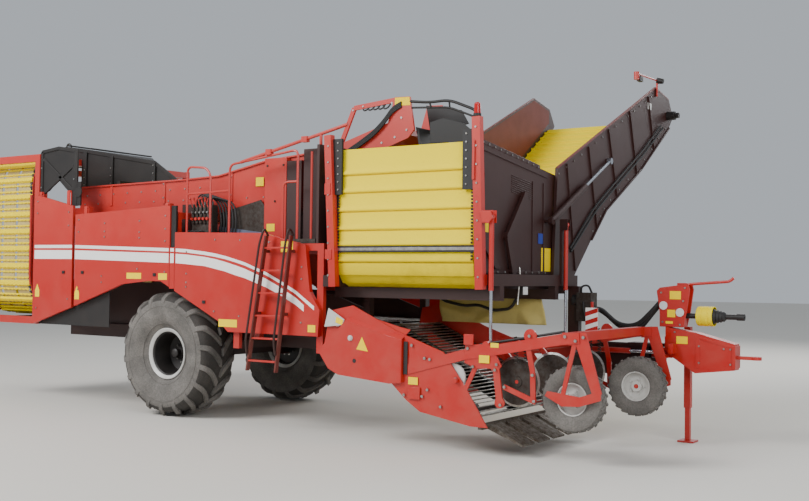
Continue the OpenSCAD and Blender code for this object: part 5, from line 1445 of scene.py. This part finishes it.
def hose_tower():
    """Plates, reflectors, labels and bolts on the drawbar."""
    arm = [(6.6, 0.68, 1.92), (6.8, 0.68, 1.95), (7.24, 0.68, 1.985), (7.29, 0.68, 2.03)]
    build(
        "hose_tower_plates", "red enamel", "drawbar",
        (slab, TOWER_SIDE, "y", 0.6, 0.618),
        (slab, TOWER_SIDE, "y", 0.742, 0.76),
        (block, (6.69, 0.618, 1.42), (6.705, 0.742, 1.94)),
        (block, (6.42, 0.618, 1.86), (6.7, 0.742, 1.875)),
        (tube, arm, 0.018, 12, 0.04),
        (block, (6.6, 0.655, 1.88), (6.72, 0.705, 1.96)),
        replaces=["hose_tower"], edge=0.004,
    )
    discs = [(pin, (x, 0.598, z), (x, 0.588, z), 0.052, 32) for x, z in ((6.45, 1.68), (6.66, 1.6))]
    build("reflectors", "white lens", "drawbar", *discs, edge=0.003)
    build(
        "drawbar_labels", "yellow label", "drawbar",
        (block, (6.53, 0.5975, 1.76), (6.67, 0.5995, 1.86)),
        (block, (6.5, 0.5975, 1.54), (6.6, 0.5995, 1.63)),
        (block, (6.48, 0.5975, 1.46), (6.57, 0.5995, 1.49)),
        (block, (6.62, 0.5875, 1.22), (6.76, 0.5895, 1.31)),
    )
    heads = [(bolts, [(x, y, z) for x, z in spots], (0, -1, 0)) for y, spots in
             ((0.6, TOWER_BOLTS), (0.59, DRAWBAR_BOLTS))]
    build("drawbar_bolts", "bright steel", "drawbar", *heads, weld=False)
    build(
        "drawbar_seams", "red enamel", "drawbar",
        (beam, (6.88, 0.587, 0.93), (6.88, 0.587, 1.33), 0.006, 0.05),
        (beam, (6.9, 0.587, 1.3), (7.3, 0.587, 1.2), 0.006, 0.03),
        (block, (6.56, 0.45, 1.1), (6.62, 0.59, 1.22)),
        (block, (7.3, 0.575, 0.95), (7.34, 0.785, 1.22)),
        edge=0.003,
    )


def shaft_guard():
    """Guard cone and bellows, turned about the input shaft."""
    turn = Matrix.Translation(at(6.86, 0.68, 1.56)) @ Matrix.Rotation(math.pi / 2, 4, "Y")
    for name, profile, finish, replaced in (
        ("guard_cone", GUARD_CONE, "yellow plastic", ["shaft_guard"]),
        ("guard_boot", GUARD_BOOT, "black rubber", []),
    ):
        bm = repeated(shapes((revolved, profile, 48)), [turn])
        make(name, bm, finish, "drawbar", replaced, smooth=30, weld=False)


def drawbar_hoses():
    """Hoses from the control box over the pivot to the tower, held at both ends."""
    loops = []
    for i in range(3):
        y, drop = 0.625 + 0.05 * i, 0.03 * i
        route = ((5.49, 1.62), (5.62, 1.62 - drop), (5.86, 1.42 - drop), (6.1, 1.42 - drop), (6.34, 1.66),
                 (6.48, 1.83), (6.62, 1.84))
        loops.append((tube, rounded([(x, y, z) for x, z in route], 0.16, 8), 0.024, 10))
    piece = build("hose_loop", "black rubber", None, *loops)
    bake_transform(piece)
    build(
        "box_hoses", "black rubber", "chassis",
        (pin, (5.22, 0.66, 1.72), (5.3, 0.66, 1.72), 0.075, 24),
        (tube, [(5.35, 0.6, 1.82), (5.36, 0.58, 1.9), (5.45, 0.6, 1.92), (5.47, 0.66, 1.82)], 0.014, 8, 0.06),
        (tube, [(5.4, 0.555, 1.7), (5.42, 0.52, 1.6), (5.5, 0.56, 1.3), (5.55, 0.64, 1.2)], 0.014, 8, 0.1),
    )
    build("floor_hose", "black rubber", "chassis", (tube, FLOOR_HOSE, 0.02, 10, 0.08))


class HARVESTER_OT_drawbar(bpy.types.Operator):
    """Hose tower, reflectors, shaft guard and fittings of the drawbar"""

    bl_idname = "harvester.drawbar"
    bl_label = "Drawbar"

    def execute(self, context):
        hose_tower()
        shaft_guard()
        drawbar_hoses()
        build(
            "neck_gusset", "brown red enamel", "chassis",
            (slab, GUSSET, "y", 0.608, 0.626),
            (slab, GUSSET, "y", 0.734, 0.752),
            (block, (5.62, 0.626, 0.8), (5.86, 0.734, 0.82)),
            edge=0.004,
        )
        return {"FINISHED"}


class HARVESTER_OT_lamps(bpy.types.Operator):
    """Tail lamps, work lamp and warning beacon"""

    bl_idname = "harvester.lamps"
    bl_label = "Lamps"

    def execute(self, context):
        lenses, cases = [], []
        for side, _ in SIDES:
            for z in (1.905, 2.005, 2.105):
                lenses.append((block, (-4.38, side * 1.537, z), (-4.365, side * 1.593, z + 0.09)))
            cases.append((block, (-4.368, side * 1.531, 1.898), (-4.35, side * 1.599, 2.202)))
        lenses.append((pin, (5.075, -1.65, 3.855), (5.075, -1.65, 3.965), 0.04, 24, 0.036))
        lenses.append((ball, (5.075, -1.65, 3.965), 0.036, (1, 1, 0.6)))
        build("red_lamps", "red lens", "chassis", *lenses, replaces=["lamps"], edge=0.003)
        cases.append((pin, (5.075, -1.65, 3.822), (5.075, -1.65, 3.857), 0.046, 24))
        cases.append((block, (5.14, -0.75, 1.79), (5.205, -0.62, 1.9)))
        build("lamp_housings", "black enamel", "chassis", *cases, edge=0.004)
        lens = (block, (5.204, -0.742, 1.798), (5.212, -0.628, 1.892))
        build("work_lamp_lens", "white lens", "chassis", lens, edge=0.002)
        return {"FINISHED"}


# The camera fitted to the picture: its width and focal length in pixels, its place
# from the axle, and its heading, rise and roll in degrees
IMAGE_WIDTH, FOCAL_LENGTH = 809, 1065
CAMERA_PLACE, CAMERA_ANGLES = (11.1, -12.1, 1.99), (33.8, 1.43, 0.72)
SENSOR_WIDTH = 36.0
# Soft lights: name, place, size, power
LIGHTS = (
    ("key", (-7.0, -17.0, 14.0), 9.0, 4300.0),
    ("fill", (16.0, -12.0, 9.0), 10.0, 1500.0),
    ("back", (4.0, 16.0, 12.0), 10.0, 1800.0),
)
LIT_PLACE = (0, 0, 1.5)


def studio_floor(scene):
    """A wide pale disc just under the machine, left out of the part."""
    tree, shader, place = new_material("studio floor", "red_paint")
    pale = tuple(scene.harvester_colours.floor)
    tone = spread(tree, clouds(tree, place, 3.0, 3.0), 0.3, 0.7, 0.0, 0.25)
    colour = mixed(tree, tone, pale, tuple(c * 0.94 for c in pale[:3]) + (1,))
    finished(tree, shader, colour, 0.9)
    bm = bmesh.new()
    bmesh.ops.create_circle(bm, cap_ends=True, radius=90, segments=96)
    mesh = bpy.data.meshes.new("floor")
    bm.to_mesh(mesh)
    bm.free()
    mesh.materials.append(FINISHES.pop("studio floor")[0])
    floor = bpy.data.objects.new("floor", mesh)
    floor.location.z = -0.001
    scene.collection.objects.link(floor)


def studio_lights(scene):
    """A dim sky and three soft lights."""
    world = bpy.data.worlds.new("studio")
    scene.world = world
    world.use_nodes = True
    background = world.node_tree.nodes["Background"]
    background.inputs["Color"].default_value = linear("#dfe6ee")
    background.inputs["Strength"].default_value = 0.62
    for name, place, size, power in LIGHTS:
        light = bpy.data.lights.new(name, "AREA")
        light.size = size
        light.energy = power
        lamp = bpy.data.objects.new(name, light)
        lamp.location = place
        lamp.rotation_mode = "QUATERNION"
        lamp.rotation_quaternion = (Vector(LIT_PLACE) - lamp.location).to_track_quat("-Z", "Y")
        scene.collection.objects.link(lamp)


def studio_camera(scene):
    """The photograph's view, fitted to the wheels, panels and bunker."""
    heading, rise, roll = (math.radians(a) for a in CAMERA_ANGLES)
    level = Vector((math.cos(heading), math.sin(heading), 0))
    flat = Vector((-math.sin(heading), math.cos(heading), 0))
    ahead = flat * math.cos(rise) + Vector((0, 0, math.sin(rise)))
    over = level.cross(ahead)
    right = math.cos(roll) * level + math.sin(roll) * over
    up = -math.sin(roll) * level + math.cos(roll) * over
    data = bpy.data.cameras.new("camera")
    data.sensor_width = SENSOR_WIDTH
    data.lens = SENSOR_WIDTH * FOCAL_LENGTH / IMAGE_WIDTH
    data.clip_end = 400
    camera = bpy.data.objects.new("camera", data)
    turn = Matrix((right, up, -ahead)).transposed().to_4x4()
    camera.matrix_world = Matrix.Translation(at(*CAMERA_PLACE)) @ turn
    scene.collection.objects.link(camera)
    scene.camera = camera


class HARVESTER_OT_stage(bpy.types.Operator):
    """Pale floor, soft lights and the camera"""

    bl_idname = "harvester.stage"
    bl_label = "Stage"

    def execute(self, context):
        for part in (studio_floor, studio_lights, studio_camera):
            part(context.scene)
        return {"FINISHED"}


OPERATORS = (
    HARVESTER_OT_finishes,
    HARVESTER_OT_stage,
    HARVESTER_OT_wheels,
    HARVESTER_OT_ring_elevator,
    HARVESTER_OT_panels,
    HARVESTER_OT_depth_wheels,
    HARVESTER_OT_bunker,
    HARVESTER_OT_boom,
    HARVESTER_OT_webs,
    HARVESTER_OT_upper_works,
    HARVESTER_OT_intake,
    HARVESTER_OT_drawbar,
    HARVESTER_OT_lamps,
)


class HARVESTER_PT_panel(bpy.types.Panel):
    """Lists the machine's pieces in the order in which they are built"""

    bl_idname = "HARVESTER_PT_panel"
    bl_label = "Harvester"
    bl_space_type = "VIEW_3D"
    bl_region_type = "UI"
    bl_category = "Harvester"

    def draw(self, context):
        for operator in OPERATORS:
            self.layout.operator(operator.bl_idname)


CLASSES = (HarvesterColours, HarvesterSizes, *OPERATORS, HARVESTER_PT_panel)


def register():
    for cls in CLASSES:
        bpy.utils.register_class(cls)
    bpy.types.Scene.harvester_colours = PointerProperty(type=HarvesterColours)
    bpy.types.Scene.harvester_sizes = PointerProperty(type=HarvesterSizes)


def unregister():
    del bpy.types.Scene.harvester_sizes
    del bpy.types.Scene.harvester_colours
    for cls in reversed(CLASSES):
        bpy.utils.unregister_class(cls)


def main():
    register()
    for operator in OPERATORS:
        group, name = operator.bl_idname.split(".")
        getattr(getattr(bpy.ops, group), name)()


if __name__ == "__main__":
    main()
